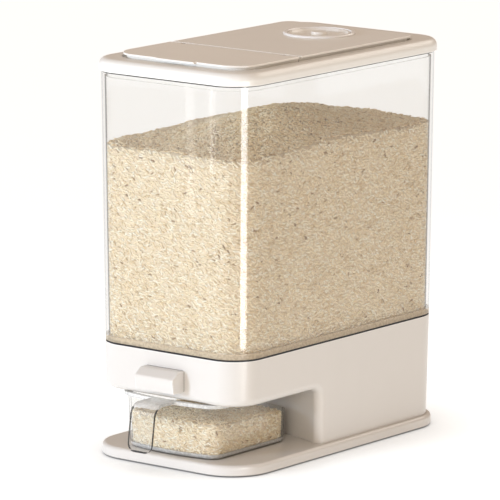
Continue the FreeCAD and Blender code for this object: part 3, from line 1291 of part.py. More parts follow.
def lid_frame():
    """The lid's rim and deck: a skirt over the neck, a sunk deck with the filling opening and two hinge ears."""
    made = body("lid_frame")
    pad(made, "block", lid_outline(made, "outline", LID_LOW, "0"), "Sizes.rim_height")
    soften(made, "top_edge", "Sizes.lid_round", level(RIM_TOP))
    soften(made, "low_edge", "Sizes.lid_low_edge", level(LID_LOW), "Chamfer")
    skirt = bin_outline(made, "skirt_outline", DECK_LOW, "Sizes.neck_inset - Sizes.skirt_gap", "1")
    pocket(made, "skirt", skirt, "%s - %s + 1" % (DECK_LOW, LID_LOW))
    recess = panel_outline(made, "recess_outline", "%s + 1" % RIM_TOP, "Sizes.panel_groove")
    pocket(made, "recess", recess, "%s - %s + 1" % (RIM_TOP, DECK_TOP))
    rear_recess = rear_outline(made, "rear_recess_outline", "%s + 1" % RIM_TOP, "Sizes.panel_groove")
    pocket(made, "rear_recess", rear_recess, "%s - %s + 1" % (RIM_TOP, DECK_TOP))
    pocket(made, "fill_opening", fill_outline(made, "fill_outline", "%s + 1" % DECK_TOP, "0"), "Sizes.deck_thick + 2")
    shaft = sketch(made, "shaft_outline", along="Sizes.dial_reach", out="%s + 1" % DECK_TOP)
    add_circle(shaft, "shaft", "Sizes.dial_shaft_radius + Sizes.dial_shaft_play")
    pocket(made, "shaft_hole", shaft, "Sizes.deck_thick + 2")
    for number, side in enumerate(EARS):
        near = "%s - Sizes.hinge_ear_thick / 2" % side
        stem = sketch(made, "ear_stem_outline_%d" % number, "YZ_Plane", "-" + AXIS_REACH, "0", near)
        half = "Sizes.hinge_ear_radius"
        foot = "(%s - Sizes.deck_thick / 2)" % DECK_TOP
        corners = (("-" + half, foot), (half, foot), (half, AXIS_HEIGHT), ("-" + half, AXIS_HEIGHT))
        add_polygon(stem, "stem", corners)
        pad(made, "ear_stem_%d" % number, stem, "Sizes.hinge_ear_thick")
        eye = sketch(made, "ear_eye_outline_%d" % number, "YZ_Plane", "-" + AXIS_REACH, AXIS_HEIGHT, near)
        add_circle(eye, "eye", half)
        pad(made, "ear_eye_%d" % number, eye, "Sizes.hinge_ear_thick")
    bore = sketch(made, "pin_bore_outline", "YZ_Plane", "-" + AXIS_REACH, AXIS_HEIGHT)
    add_circle(bore, "bore", "Sizes.hinge_pin_radius")
    pocket(made, "pin_bore", bore, "2 * %s + 2 * Sizes.hinge_ear_thick" % HINGE_SIDE, both=True)
    return made


def seam_cut(owner, name, near, far):
    """Cuts away what lies between two places along Y, through the full height of the lid."""
    drawn = sketch(owner, name + "_outline", out="%s + 2" % PANEL_TOP)
    half = "Sizes.body_width / 2"
    add_polygon(drawn, name, (("-" + half, near), (half, near), (half, far), ("-" + half, far)))
    pocket(owner, name, drawn, "%s - %s + 4" % (PANEL_TOP, DECK_LOW))


def panel_blank(owner, low, outline):
    """The block that flap or rear panel is cut from: a body with an overhanging lip."""
    body_plan = outline(owner, "body_outline", low, "-Sizes.panel_undercut")
    pad(owner, "body_block", body_plan, "%s - %s" % (PANEL_TOP, low))
    lip = outline(owner, "lip_outline", LIP_LOW, "0")
    pad(owner, "lip_block", lip, "Sizes.panel_lip")


def fill_flap():
    """The hinged flap over the filling opening: a lip, a finger tab and a round hinge barrel with two slots."""
    made = body("fill_flap")
    panel_blank(made, FLAP_LOW, panel_outline)
    tab = rounded(
        made,
        "tab_outline",
        "Sizes.tab_width",
        "Sizes.tab_reach * 4",
        "Sizes.panel_edge",
        along="-(%s - Sizes.tab_reach)" % PANEL_FRONT,
        out=LIP_LOW,
    )
    pad(made, "tab", tab, "Sizes.panel_lip")
    notch = sketch(made, "notch_outline", out="%s + 1" % PANEL_TOP)
    for number, side in enumerate(("", "-")):
        spot = side + "(Sizes.tab_width / 2 + Sizes.panel_edge)"
        add_circle(notch, "notch_%d" % number, "Sizes.panel_edge", spot, "-" + PANEL_FRONT)
    pocket(made, "notches", notch, "Sizes.panel_lip + 1")
    seam_cut(made, "seam", "-" + AXIS_REACH, "Sizes.body_depth / 2")
    long_enough = lambda e: e.Length > 2
    soften(made, "top_edge", "Sizes.panel_edge", level(PANEL_TOP, lambda e: not on_seam(e), long_enough))
    barrel = sketch(made, "barrel_outline", "YZ_Plane", "-" + AXIS_REACH, AXIS_HEIGHT)
    add_circle(barrel, "barrel", BARREL)
    pad(made, "barrel", barrel, "2 * (%s - Sizes.panel_undercut)" % PANEL_SIDE, both=True)
    gap = "Sizes.run_gap"
    slots = sketch(made, "slot_outline", out="%s + 1" % PANEL_TOP)
    for number, side in enumerate(EARS):
        left = "%s - Sizes.hinge_ear_thick / 2 - %s" % (side, gap)
        right = "%s + Sizes.hinge_ear_thick / 2 + %s" % (side, gap)
        near = "-(%s + Sizes.hinge_ear_radius + %s)" % (AXIS_REACH, gap)
        far = "-(%s - %s - 1)" % (AXIS_REACH, BARREL)
        add_polygon(slots, "slot_%d" % number, ((left, near), (right, near), (right, far), (left, far)))
    pocket(made, "slots", slots, "%s - %s + 2" % (PANEL_TOP, FLAP_LOW))
    for number, side in enumerate(EARS):
        bore = sketch(made, "bore_outline_%d" % number, "YZ_Plane", "-" + AXIS_REACH, AXIS_HEIGHT, side)
        add_circle(bore, "bore", "Sizes.hinge_pin_radius + Sizes.hinge_play")
        pocket(made, "bore_%d" % number, bore, "Sizes.hinge_pin_length + 0.6", both=True)
    return made


def on_seam(edge):
    """True for an edge that lies across the lid where the panels part."""
    return edge.BoundBox.YLength < 0.01 and edge.BoundBox.YMin > -value(AXIS_REACH) - 0.1


def flap_gasket():
    """The soft ring under the flap that fills the edge of the opening."""
    made = body("flap_gasket")
    drawn = sketch(made, "outline", along="-(%s + Sizes.fill_rear) / 2" % FILL_FRONT, out=FLAP_LOW)
    for tag, inset in (("outer", "Sizes.gasket_gap"), ("inner", "(Sizes.gasket_gap + Sizes.gasket_width)")):
        add_rounded(
            drawn,
            tag,
            "%s - 2 * %s" % (FILL_WIDTH, inset),
            "%s - Sizes.fill_rear - 2 * %s" % (FILL_FRONT, inset),
            "Sizes.fill_corner - %s" % inset,
        )
    pad(made, "ring", drawn, "Sizes.gasket_depth").Reversed = True
    return made


def hinge_pin(label, side):
    """A steel pin through one ear, with the flap's barrel turning on both its ends."""
    made = body(label)
    out = "%s - Sizes.hinge_pin_length / 2" % side
    drawn = sketch(made, "outline", "YZ_Plane", "-" + AXIS_REACH, AXIS_HEIGHT, out)
    add_circle(drawn, "pin", "Sizes.hinge_pin_radius")
    pad(made, "pin", drawn, "Sizes.hinge_pin_length")
    return made


BEZEL_SPIGOT = "(Sizes.dial_radius - Sizes.dial_bezel_lift)"
BEZEL_INSIDE = "(Sizes.dial_radius - Sizes.dial_bezel_width)"
SEAT_FLOOR = "(%s - Sizes.dial_seat)" % PANEL_TOP


def rear_panel():
    """The fixed panel behind the flap, with a round seat for the dial."""
    made = body("rear_panel")
    panel_blank(made, DECK_TOP, rear_outline)
    seam_cut(made, "seam", "-Sizes.body_depth / 2", "-(Sizes.panel_seam - Sizes.seam_gap / 2)")
    soften(made, "top_edge", "Sizes.panel_edge", level(PANEL_TOP))
    seat = sketch(made, "seat_outline", along="Sizes.dial_reach", out="%s + 1" % PANEL_TOP)
    add_circle(seat, "seat", "%s + Sizes.screw_play" % BEZEL_SPIGOT)
    pocket(made, "seat", seat, "Sizes.dial_seat + 1")
    shaft = sketch(made, "shaft_outline", along="Sizes.dial_reach", out=PANEL_TOP)
    add_circle(shaft, "shaft", "Sizes.dial_shaft_radius + Sizes.dial_shaft_play")
    pocket(made, "shaft_hole", shaft, "%s - %s + 1" % (PANEL_TOP, DECK_TOP))
    return made


def dial_bezel():
    """The ring round the dial."""
    made = body("dial_bezel")
    top = "(%s + Sizes.dial_bezel_lift)" % PANEL_TOP
    bevel = "Sizes.dial_bezel_lift / 2"
    corners = (
        (BEZEL_INSIDE, SEAT_FLOOR),
        (BEZEL_SPIGOT, SEAT_FLOOR),
        (BEZEL_SPIGOT, PANEL_TOP),
        ("Sizes.dial_radius", PANEL_TOP),
        ("Sizes.dial_radius", "%s - %s" % (top, bevel)),
        ("Sizes.dial_radius - %s" % bevel, top),
        ("%s + %s" % (BEZEL_INSIDE, bevel), top),
        (BEZEL_INSIDE, "%s - %s" % (top, bevel)),
    )
    turned(made, "ring", corners, back="Sizes.dial_reach")
    return made


def dial_disc():
    """The dished disc that turns, with a knob above and a shaft down through the lid."""
    made = body("dial_disc")
    low = "(%s + Sizes.run_gap)" % SEAT_FLOOR
    top = "(%s + Sizes.dial_bezel_lift / 2)" % PANEL_TOP
    dish = "(%s - Sizes.dial_dish)" % top
    rim = "(%s - Sizes.dial_play)" % BEZEL_INSIDE
    end = "(%s - Sizes.run_gap - Sizes.clip_thick)" % DECK_LOW
    corners = (
        ("0", end),
        ("Sizes.dial_shaft_radius", end),
        ("Sizes.dial_shaft_radius", low),
        (rim, low),
        (rim, top),
        ("%s - Sizes.dial_bezel_lift" % rim, top),
        ("%s - Sizes.dial_bezel_lift - Sizes.dial_dish" % rim, dish),
        ("Sizes.dial_knob_radius + Sizes.dial_dish / 2", dish),
        ("Sizes.dial_knob_radius", "(%s + Sizes.dial_bezel_lift / 2)" % top),
        ("0", "(%s + Sizes.dial_bezel_lift / 2)" % top),
    )
    turned(made, "disc", corners, back="Sizes.dial_reach")
    return made


def dial_clip():
    """The clip that holds the disc's shaft under the deck."""
    made = body("dial_clip")
    low = "(%s - Sizes.run_gap - Sizes.clip_thick)" % DECK_LOW
    top = "(%s - Sizes.run_gap)" % DECK_LOW
    inner = "Sizes.dial_shaft_radius"
    corners = ((inner, low), ("Sizes.clip_radius", low), ("Sizes.clip_radius", top), (inner, top))
    turned(made, "ring", corners, back="Sizes.dial_reach")
    return made


BOX_LOW = "(%s - Sizes.box_height)" % DECK_LOW


def desiccant_box():
    """The round box under the lid, open below."""
    made = body("desiccant_box")
    roof = "(%s - Sizes.box_wall)" % DECK_LOW
    inner = "(Sizes.box_radius - Sizes.box_wall)"
    step = "(%s + Sizes.box_wall)" % BOX_LOW
    corners = (
        ("Sizes.box_hole", DECK_LOW),
        ("Sizes.box_radius", DECK_LOW),
        ("Sizes.box_radius", BOX_LOW),
        ("%s + Sizes.box_ledge" % inner, BOX_LOW),
        ("%s + Sizes.box_ledge" % inner, step),
        (inner, step),
        (inner, roof),
        ("Sizes.box_hole", roof),
    )
    turned(made, "wall", corners, back="Sizes.dial_reach")
    return made


def desiccant_cover():
    """The slotted disc that closes the box from below."""
    made = body("desiccant_cover")
    disc = sketch(made, "disc_outline", along="Sizes.dial_reach", out=BOX_LOW)
    add_circle(disc, "disc", "Sizes.box_radius - Sizes.box_wall + Sizes.box_ledge - Sizes.screw_play")
    pad(made, "disc", disc, "Sizes.box_wall")
    for number in (-2, -1, 0, 1, 2):
        slot = rounded(
            made,
            "slot_outline_%d" % (number + 2),
            "Sizes.slot_width",
            "Sizes.slot_length",
            "Sizes.slot_width / 2.1",
            right="%d * Sizes.slot_pitch" % number,
            along="Sizes.dial_reach",
            out="%s + Sizes.box_wall + 1" % BOX_LOW,
        )
        pocket(made, "slot_%d" % (number + 2), slot, "Sizes.box_wall + 2")
    return made


# ---------------------------------------------------------------- the whole dispenser

pieces = [
    foot_plate(),
    foot_pads(),
    foot_screws(),
    base_housing(),
    funnel_tray(),
    wiper_seal(),
    bin_seal(),
    grain_bin(),
    shutter_gate(),
    gate_guide("gate_guide_left", "-"),
    gate_guide("gate_guide_right", ""),
    guide_screws(),
    button_cap(),
    button_yoke(),
    yoke_screws(),
    return_spring("return_spring_left", SPRINGS[1]),
    return_spring("return_spring_right", SPRINGS[0]),
    measuring_cup(),
    lid_seal(),
    lid_frame(),
    rear_panel(),
    fill_flap(),
    flap_gasket(),
    hinge_pin("hinge_pin_left", EARS[1]),
    hinge_pin("hinge_pin_right", EARS[0]),
    dial_bezel(),
    dial_disc(),
    dial_clip(),
    desiccant_box(),
    desiccant_cover(),
]
doc.recompute()

# Every feature is sound, and every cut takes something away, before anything is written.
faults = [made.Name for made in doc.Objects if {"Invalid", "Error"} & set(made.State)]
for made in doc.Objects:
    if made.isDerivedFrom("PartDesign::Feature") and made.BaseFeature and not made.Shape.isNull():
        before = made.BaseFeature.Shape.Volume
        cuts = made.TypeId in ("PartDesign::Pocket", "PartDesign::SubtractiveLoft")
        adds = made.TypeId in ("PartDesign::Pad", "PartDesign::AdditiveLoft")
        if (cuts and made.Shape.Volume > before - 0.01) or (adds and made.Shape.Volume < before + 0.01):
            faults.append(made.Name + " changes nothing")
for made in pieces:
    if made.Shape.isNull() or not made.Shape.isValid():
        faults.append(made.Label + " has no valid shape")
if faults:
    raise RuntimeError("the dispenser did not build: " + ", ".join(faults))

os.makedirs("parts", exist_ok=True)
for made in pieces:
    made.Shape.exportStep("parts/%s.step" % made.Label)
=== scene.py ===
"""Rice dispenser with a drawer cup: materials, contents, light and camera round the model.

Lengths are in metres, except in the section on rice, which plans in millimetres.
"""

import math

import bpy
import numpy as np
from mathutils import Matrix, Vector


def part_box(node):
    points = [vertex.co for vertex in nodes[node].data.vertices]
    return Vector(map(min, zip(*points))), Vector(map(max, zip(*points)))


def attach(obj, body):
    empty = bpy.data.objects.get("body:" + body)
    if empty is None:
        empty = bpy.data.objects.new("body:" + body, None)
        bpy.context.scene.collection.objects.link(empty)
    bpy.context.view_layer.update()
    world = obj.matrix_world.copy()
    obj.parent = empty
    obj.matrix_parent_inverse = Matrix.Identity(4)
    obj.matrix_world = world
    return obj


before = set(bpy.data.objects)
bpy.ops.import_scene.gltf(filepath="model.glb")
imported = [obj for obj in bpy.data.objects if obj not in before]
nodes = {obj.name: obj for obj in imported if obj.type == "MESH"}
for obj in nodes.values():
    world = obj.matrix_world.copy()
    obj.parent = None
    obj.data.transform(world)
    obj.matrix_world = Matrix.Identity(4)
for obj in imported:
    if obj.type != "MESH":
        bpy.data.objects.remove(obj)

bpy.context.scene.view_settings.view_transform = "Standard"
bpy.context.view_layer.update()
MM = 0.001
WHITE = (1, 1, 1)


# ---------------------------------------------------------------- camera, light and floor


CAMERA_PLACE = (2.78255, -3.55761, 1.03764)
CAMERA_AZIMUTH, CAMERA_HEIGHT, CAMERA_ROLL = 38.26, 10.79, 0.07  # degrees
CAMERA_LENS, SENSOR_WIDTH = 358.6, 36  # millimetres
CAMERA_REACH = 60

WORLD_LIGHT, WORLD_LIGHT_STRENGTH = (1.0, 0.815, 0.67), 0.56

# The floor: half its side, its grey and the tint of its glow, how near things cast the painted
# contact shadow that dims that glow, and the inner and outer radius of the painted pool of light
# with the glow at each.
FLOOR_REACH = 30.0
FLOOR_GREY, FLOOR_GLOW = (0.6, 0.6, 0.6), (0.96, 0.99, 1.0)
FLOOR_SHADOW_REACH = 0.09
LIGHT_POOL_EDGES, LIGHT_POOL_GLOWS = (0.45, 1.2), (0.82, 0.71)

# Name, place, target, size, power, colour, and whether the light shows as a highlight only.
LIGHTS = (
    ("key", (-1.25, -3.3, 0.75), (0, -0.05, 0.17), (0.7, 0.7), 61, (0.83, 1.03, 1.29), False),
    ("side", (1.25, -2.7, 0.6), (0.06, -0.02, 0.06), (0.9, 0.6), 15, (1.0, 0.9, 0.78), False),
    ("rim", (0.43, 1.39, 1.46), (0.05, 0, 0.36), (1.6, 1.0), 14, (1, 0.96, 0.9), True),
    ("pane", (-0.2537, -0.538, 0.225), (0.054, -0.153, 0.3), (0.0016, 0.085), 0.0042, WHITE, True),
    ("panel", (-0.283, -0.538, 0.2), (0.025, -0.153, 0.28), (0.0048, 0.14), 0.0055, WHITE, True),
    ("corner", (0.556, -0.312, 0.12), (0.075, -0.15, 0.2), (0.2, 0.46), 2.7, WHITE, True),
    ("sheen", (-1.5, -2.6, 1.6), (0, 0, 0.2), (1.6, 1.6), 26, WHITE, True),
)


def make_camera():
    """The camera that sees the dispenser from its front right, a little from above."""
    azimuth = math.radians(CAMERA_AZIMUTH)
    height = math.radians(CAMERA_HEIGHT)
    level = math.cos(height)
    back = Vector((math.sin(azimuth) * level, -math.cos(azimuth) * level, math.sin(height)))
    right = Vector((math.cos(azimuth), math.sin(azimuth), 0))
    up = back.cross(right)
    roll = Matrix.Rotation(math.radians(CAMERA_ROLL), 3, "Z")
    turn = Matrix((right, up, back)).transposed() @ roll
    data = bpy.data.cameras.new("camera")
    data.sensor_width = SENSOR_WIDTH
    data.lens = CAMERA_LENS
    data.clip_end = CAMERA_REACH
    made = bpy.data.objects.new("camera", data)
    made.matrix_world = Matrix.Translation(CAMERA_PLACE) @ turn.to_4x4()
    bpy.context.scene.collection.objects.link(made)
    bpy.context.scene.camera = made


def area_light(name, place, target, size, power, colour, gloss):
    """A soft light that points at target. A gloss light shows as a highlight and lights nothing."""
    data = bpy.data.lights.new(name, "AREA")
    data.shape = "RECTANGLE"
    data.size, data.size_y = size
    data.energy = power
    data.color = colour
    made = bpy.data.objects.new(name, data)
    made.location = place
    made.rotation_euler = (Vector(target) - Vector(place)).to_track_quat("-Z", "Y").to_euler()
    made.visible_camera = False
    made.visible_diffuse = not gloss
    made.visible_glossy = gloss
    bpy.context.scene.collection.objects.link(made)


def make_world():
    """A surround that the camera sees as white, and that lights the object with a dimmer tint."""
    world = bpy.data.worlds.new("studio")
    world.use_nodes = True
    bpy.context.scene.world = world
    tree = world.node_tree
    tree.nodes.clear()
    out = tree.nodes.new("ShaderNodeOutputWorld")
    mix = tree.nodes.new("ShaderNodeMixShader")
    path = tree.nodes.new("ShaderNodeLightPath")
    tree.links.new(path.outputs["Is Camera Ray"], mix.inputs[0])
    backgrounds = ((WORLD_LIGHT, WORLD_LIGHT_STRENGTH), (WHITE, 1.0))
    for number, (colour, strength) in enumerate(backgrounds, start=1):
        background = tree.nodes.new("ShaderNodeBackground")
        background.inputs["Color"].default_value = (*colour, 1)
        background.inputs["Strength"].default_value = strength
        tree.links.new(background.outputs[0], mix.inputs[number])
    tree.links.new(mix.outputs[0], out.inputs["Surface"])


def make_floor():
    """A plain white floor that glows, brighter in a painted pool of light round the object and
    dimmed by a painted contact shadow where things stand.
    """
    mesh = bpy.data.meshes.new("floor")
    quarters = ((-1, -1), (1, -1), (1, 1), (-1, 1))
    corners = [(x * FLOOR_REACH, y * FLOOR_REACH, 0) for x, y in quarters]
    mesh.from_pydata(corners, [], [(0, 1, 2, 3)])
    made = bpy.data.objects.new("floor", mesh)
    bpy.context.scene.collection.objects.link(made)
    material = bpy.data.materials.new("floor_white")
    material.use_nodes = True
    tree = material.node_tree
    shader = tree.nodes["Principled BSDF"]
    shader.inputs["Base Color"].default_value = (*FLOOR_GREY, 1)
    shader.inputs["Roughness"].default_value = 0.6
    shader.inputs["Emission Color"].default_value = (*FLOOR_GLOW, 1)
    # Painted contact shadow: ambient occlusion dims the glow near things that stand on the floor.
    painted_shadow = tree.nodes.new("ShaderNodeAmbientOcclusion")
    painted_shadow.samples = 8
    painted_shadow.inputs["Distance"].default_value = FLOOR_SHADOW_REACH
    place = tree.nodes.new("ShaderNodeTexCoord")
    away = tree.nodes.new("ShaderNodeVectorMath")
    away.operation = "LENGTH"
    tree.links.new(place.outputs["Object"], away.inputs[0])
    # Painted pool of light: the glow is stronger near the object than far off.
    light_pool = tree.nodes.new("ShaderNodeMapRange")
    limits = ("From Min", "From Max", "To Min", "To Max")
    for name, number in zip(limits, LIGHT_POOL_EDGES + LIGHT_POOL_GLOWS):
        light_pool.inputs[name].default_value = number
    tree.links.new(away.outputs["Value"], light_pool.inputs[0])
    glow = tree.nodes.new("ShaderNodeMath")
    glow.operation = "MULTIPLY"
    tree.links.new(painted_shadow.outputs["AO"], glow.inputs[0])
    tree.links.new(light_pool.outputs[0], glow.inputs[1])
    tree.links.new(glow.outputs[0], shader.inputs["Emission Strength"])
    mesh.materials.append(material)


make_camera()
make_world()
make_floor()
for light in LIGHTS:
    area_light(*light)


# ---------------------------------------------------------------- materials


# A rounded rectangle halfway through the bin's wall: the centres of its corners, their radius at
# the foot of the room, the height of that foot, and how much the radius grows with height.
MIDWALL_CENTRES = (("X", 0.0565), ("Y", 0.1231))
MIDWALL_RADIUS, MIDWALL_FOOT, MIDWALL_DRAFT = 0.02805, 0.107, 0.0101

# The cup's strip handle: heights below which it hangs and below which its tip ends, the place
# along Y that it lies in front of, and the tint of the painted shade on its narrow faces.
STRIP_HANGS, STRIP_TIP, STRIP_START = 0.045, 0.0206, -0.157
STRIP_SHADE_TINT = (0.1, 0.1, 0.1)

# Clear plastic darkens where it is seen edge-on: from this share of grazing, and how fast.
EDGE_START, EDGE_RISE = 0.66, 3.4

# Moulded plastic: how near a gap is for painted shade to darken it, and that shade's tint; how near
# an edge is for a painted highlight to lighten it, and its tints there; and the share of its
# colour in the flow marks.
GAP_SHADE_REACH, GAP_SHADE_TINT = 0.0032, (0.2, 0.18, 0.16)
EDGE_HIGHLIGHT_REACH, EDGE_HIGHLIGHT_TINTS = 0.0012, ((0.3, (0.95, 0.94, 0.92)), (0.7, (0.97, 0.96, 0.94)))
FLOW_SHADE = 0.97


class Nodes:
    """A material under construction: one Principled shader, and shorthand for what feeds it."""

    def __init__(self, name):
        self.material = bpy.data.materials.new(name)
        self.material.use_nodes = True
        self.tree = self.material.node_tree
        self.shader = self.tree.nodes["Principled BSDF"]
        self.output = self.tree.nodes["Material Output"]
        self.coords = self.add("ShaderNodeTexCoord").outputs["Object"]

    def add(self, kind, **settings):
        """A new node with some of its properties set."""
        made = self.tree.nodes.new(kind)
        for key, setting in settings.items():
            setattr(made, key, setting)
        return made

    def link(self, source, target):
        """Links an output socket to an input socket."""
        self.tree.links.new(source, target)

    def set(self, **values):
        """Sets inputs of the Principled shader, named with _ for a space."""
        for key, number in values.items():
            self.shader.inputs[key.replace("_", " ")].default_value = number

    def feed(self, **sources):
        """Links sockets to inputs of the Principled shader, named with _ for a space."""
        for key, source in sources.items():
            self.link(source, self.shader.inputs[key.replace("_", " ")])

    def parts(self, vector):
        """The sockets X, Y and Z of a vector."""
        made = self.add("ShaderNodeSeparateXYZ")
        self.link(vector, made.inputs[0])
        return made.outputs

    def normal(self):
        """The sockets X, Y and Z of the surface's normal."""
        return self.parts(self.add("ShaderNodeNewGeometry").outputs["Normal"])

    def noise(self, scale, detail=2.0, roughness=0.5, stretch=(1, 1, 1)):
        """The grey output of a noise in object space. Scale is in features per metre."""
        mapping = self.add("ShaderNodeMapping")
        mapping.inputs["Scale"].default_value = stretch
        self.link(self.coords, mapping.inputs["Vector"])
        made = self.add("ShaderNodeTexNoise")
        made.inputs["Scale"].default_value = scale
        made.inputs["Detail"].default_value = detail
        made.inputs["Roughness"].default_value = roughness
        self.link(mapping.outputs[0], made.inputs["Vector"])
        return made.outputs[0]

    def occlusion(self, reach, inside=False):
        """How open the surface is within reach, or how thick the piece is behind it."""
        made = self.add("ShaderNodeAmbientOcclusion", samples=6, inside=inside)
        made.inputs["Distance"].default_value = reach
        return made.outputs["AO"]

    def ramp(self, source, stops):
        """A colour ramp over source. Stops are pairs of place and colour."""
        made = self.add("ShaderNodeValToRGB")
        elements = made.color_ramp.elements
        while len(elements) < len(stops):
            elements.new(0.5)
        for element, (place, colour) in zip(elements, stops):
            element.position = place
            element.color = (*colour, 1)
        self.link(source, made.inputs[0])
        return made.outputs[0]

    def span(self, source, low, high):
        """Source, from 0 to 1, mapped to low to high."""
        made = self.add("ShaderNodeMapRange")
        made.inputs["To Min"].default_value = low
        made.inputs["To Max"].default_value = high
        self.link(source, made.inputs[0])
        return made.outputs[0]

    def math(self, operation, first, second=None, limit=False):
        """A Math node. Each of first and second is a socket or a number."""
        made = self.add("ShaderNodeMath", operation=operation, use_clamp=limit)
        for socket, source in zip(made.inputs, (first, second)):
            if isinstance(source, (int, float)):
                socket.default_value = source
            elif source is not None:
                self.link(source, socket)
        return made.outputs[0]

    def blend(self, share, first, second):
        """First where share is 0 and second, a socket or a colour, where it is 1."""
        mix = self.add("ShaderNodeMix", data_type="RGBA")
        self.link(share, mix.inputs["Factor"])
        self.link(first, mix.inputs["A"])
        if isinstance(second, tuple):
            mix.inputs["B"].default_value = (*second, 1)
        else:
            self.link(second, mix.inputs["B"])
        return mix.outputs["Result"]

    def multiply(self, first, second):
        """The product of two colours."""
        mix = self.add("ShaderNodeMix", data_type="RGBA", blend_type="MULTIPLY")
        mix.inputs["Factor"].default_value = 1.0
        self.link(first, mix.inputs["A"])
        self.link(second, mix.inputs["B"])
        return mix.outputs["Result"]

    def mixed(self, share, first, second):
        """A shader node: first where share is 0 and second where it is 1."""
        mix = self.add("ShaderNodeMixShader")
        self.link(share, mix.inputs[0])
        self.link(first.outputs[0], mix.inputs[1])
        self.link(second.outputs[0], mix.inputs[2])
        return mix

    def bump(self, source, strength, distance, before=None):
        """A normal with source as its height, on top of another bump's normal if there is one."""
        made = self.add("ShaderNodeBump")
        made.inputs["Strength"].default_value = strength
        made.inputs["Distance"].default_value = distance
        self.link(source, made.inputs["Height"])
        if before:
            self.link(before, made.inputs["Normal"])
        return made.outputs[0]

    def inside_bin(self):
        """1 on the faces of the bin's room and 0 on its outside."""
        place = self.parts(self.coords)
        legs = []
        for axis, centre in MIDWALL_CENTRES:
            beyond = self.math("SUBTRACT", self.math("ABSOLUTE", place[axis]), centre)
            legs.append(self.math("POWER", self.math("MAXIMUM", beyond, 0.0), 2.0))
        reach = self.math("SQRT", self.math("ADD", *legs))
        height = self.math("SUBTRACT", place["Z"], MIDWALL_FOOT)
        draft = self.math("MULTIPLY", height, MIDWALL_DRAFT)
        return self.math("LESS_THAN", self.math("SUBTRACT", reach, draft), MIDWALL_RADIUS)

    def strip_sides(self, tint):
        """Tint, but with painted shade: dark on the narrow faces of the cup's strip handle."""
        place, facing = self.parts(self.coords), self.normal()
        sideways = self.math("ABSOLUTE", facing["X"])
        hangs = self.math("LESS_THAN", place["Z"], STRIP_HANGS)
        downwards = self.math("MULTIPLY", self.math("MULTIPLY", facing["Z"], -1.0), hangs)
        tip = self.math("LESS_THAN", place["Z"], STRIP_TIP)
        narrow = self.math("MAXIMUM", self.math("MAXIMUM", sideways, downwards), tip)
        narrow = self.math("MULTIPLY", self.math("SUBTRACT", narrow, 0.45), 3.5, limit=True)
        ahead = self.math("LESS_THAN", place["Y"], STRIP_START)
        return self.blend(self.math("MULTIPLY", narrow, ahead), tint, STRIP_SHADE_TINT)


def moulded(name, colour, rough=(0.28, 0.4), grain=0.12, edge_highlight=0.6):
    """Moulded plastic: faint flow marks, an uneven sheen, fine grain, painted shade in gaps
    and painted highlights on edges.
    """
    made = Nodes(name)
    flow = made.noise(14, 3, 0.55, (1, 1, 0.4))
    dark = tuple(c * FLOW_SHADE for c in colour)
    # Painted shade: ambient occlusion darkens the colour in gaps and seams.
    gap_shade = made.ramp(made.occlusion(GAP_SHADE_REACH), ((0.1, GAP_SHADE_TINT), (0.72, WHITE)))
    gap_shaded = made.multiply(made.ramp(flow, ((0.3, dark), (0.7, colour))), gap_shade)
    # Painted highlight: ambient occlusion from inside lightens the colour along convex edges.
    thickness = made.occlusion(EDGE_HIGHLIGHT_REACH, inside=True)
    edge_highlight_share = made.ramp(thickness, ((0.55, (edge_highlight, edge_highlight, edge_highlight)), (0.97, (0, 0, 0))))
    fine = made.bump(made.noise(2600, 2, 0.6), grain, 0.00004)
    made.feed(
        Base_Color=made.blend(edge_highlight_share, gap_shaded, made.ramp(flow, EDGE_HIGHLIGHT_TINTS)),
        Roughness=made.span(made.noise(55, 4, 0.6), *rough),
        Normal=made.bump(made.noise(22, 1), 0.25, 0.0002, fine),
    )
    made.set(IOR=1.5, Coat_Weight=0.25, Coat_Roughness=0.12)
    return made.material


def rubber(name, colour):
    """Matt rubber with a powdery, slightly uneven surface."""
    made = Nodes(name)
    light = tuple(c * 1.5 + 0.01 for c in colour)
    made.feed(
        Base_Color=made.ramp(made.noise(160, 4, 0.65), ((0.35, colour), (0.75, light))),
        Roughness=made.span(made.noise(300, 3), 0.6, 0.85),
        Normal=made.bump(made.noise(1800, 2), 0.3, 0.00006),
    )
    return made.material


def plated(name):
    """Zinc-plated steel with fine turning marks and a faint yellow bloom."""
    made = Nodes(name)
    bloom = ((0.35, (0.52, 0.52, 0.51)), (0.7, (0.66, 0.64, 0.58)))
    made.feed(
        Base_Color=made.ramp(made.noise(240, 3), bloom),
        Roughness=made.span(made.noise(900, 2, 0.5, (1, 1, 8)), 0.22, 0.42),
        Normal=made.bump(made.noise(1500, 2, 0.5, (1, 1, 10)), 0.15, 0.00005),
    )
    made.set(Metallic=1.0)
    return made.material


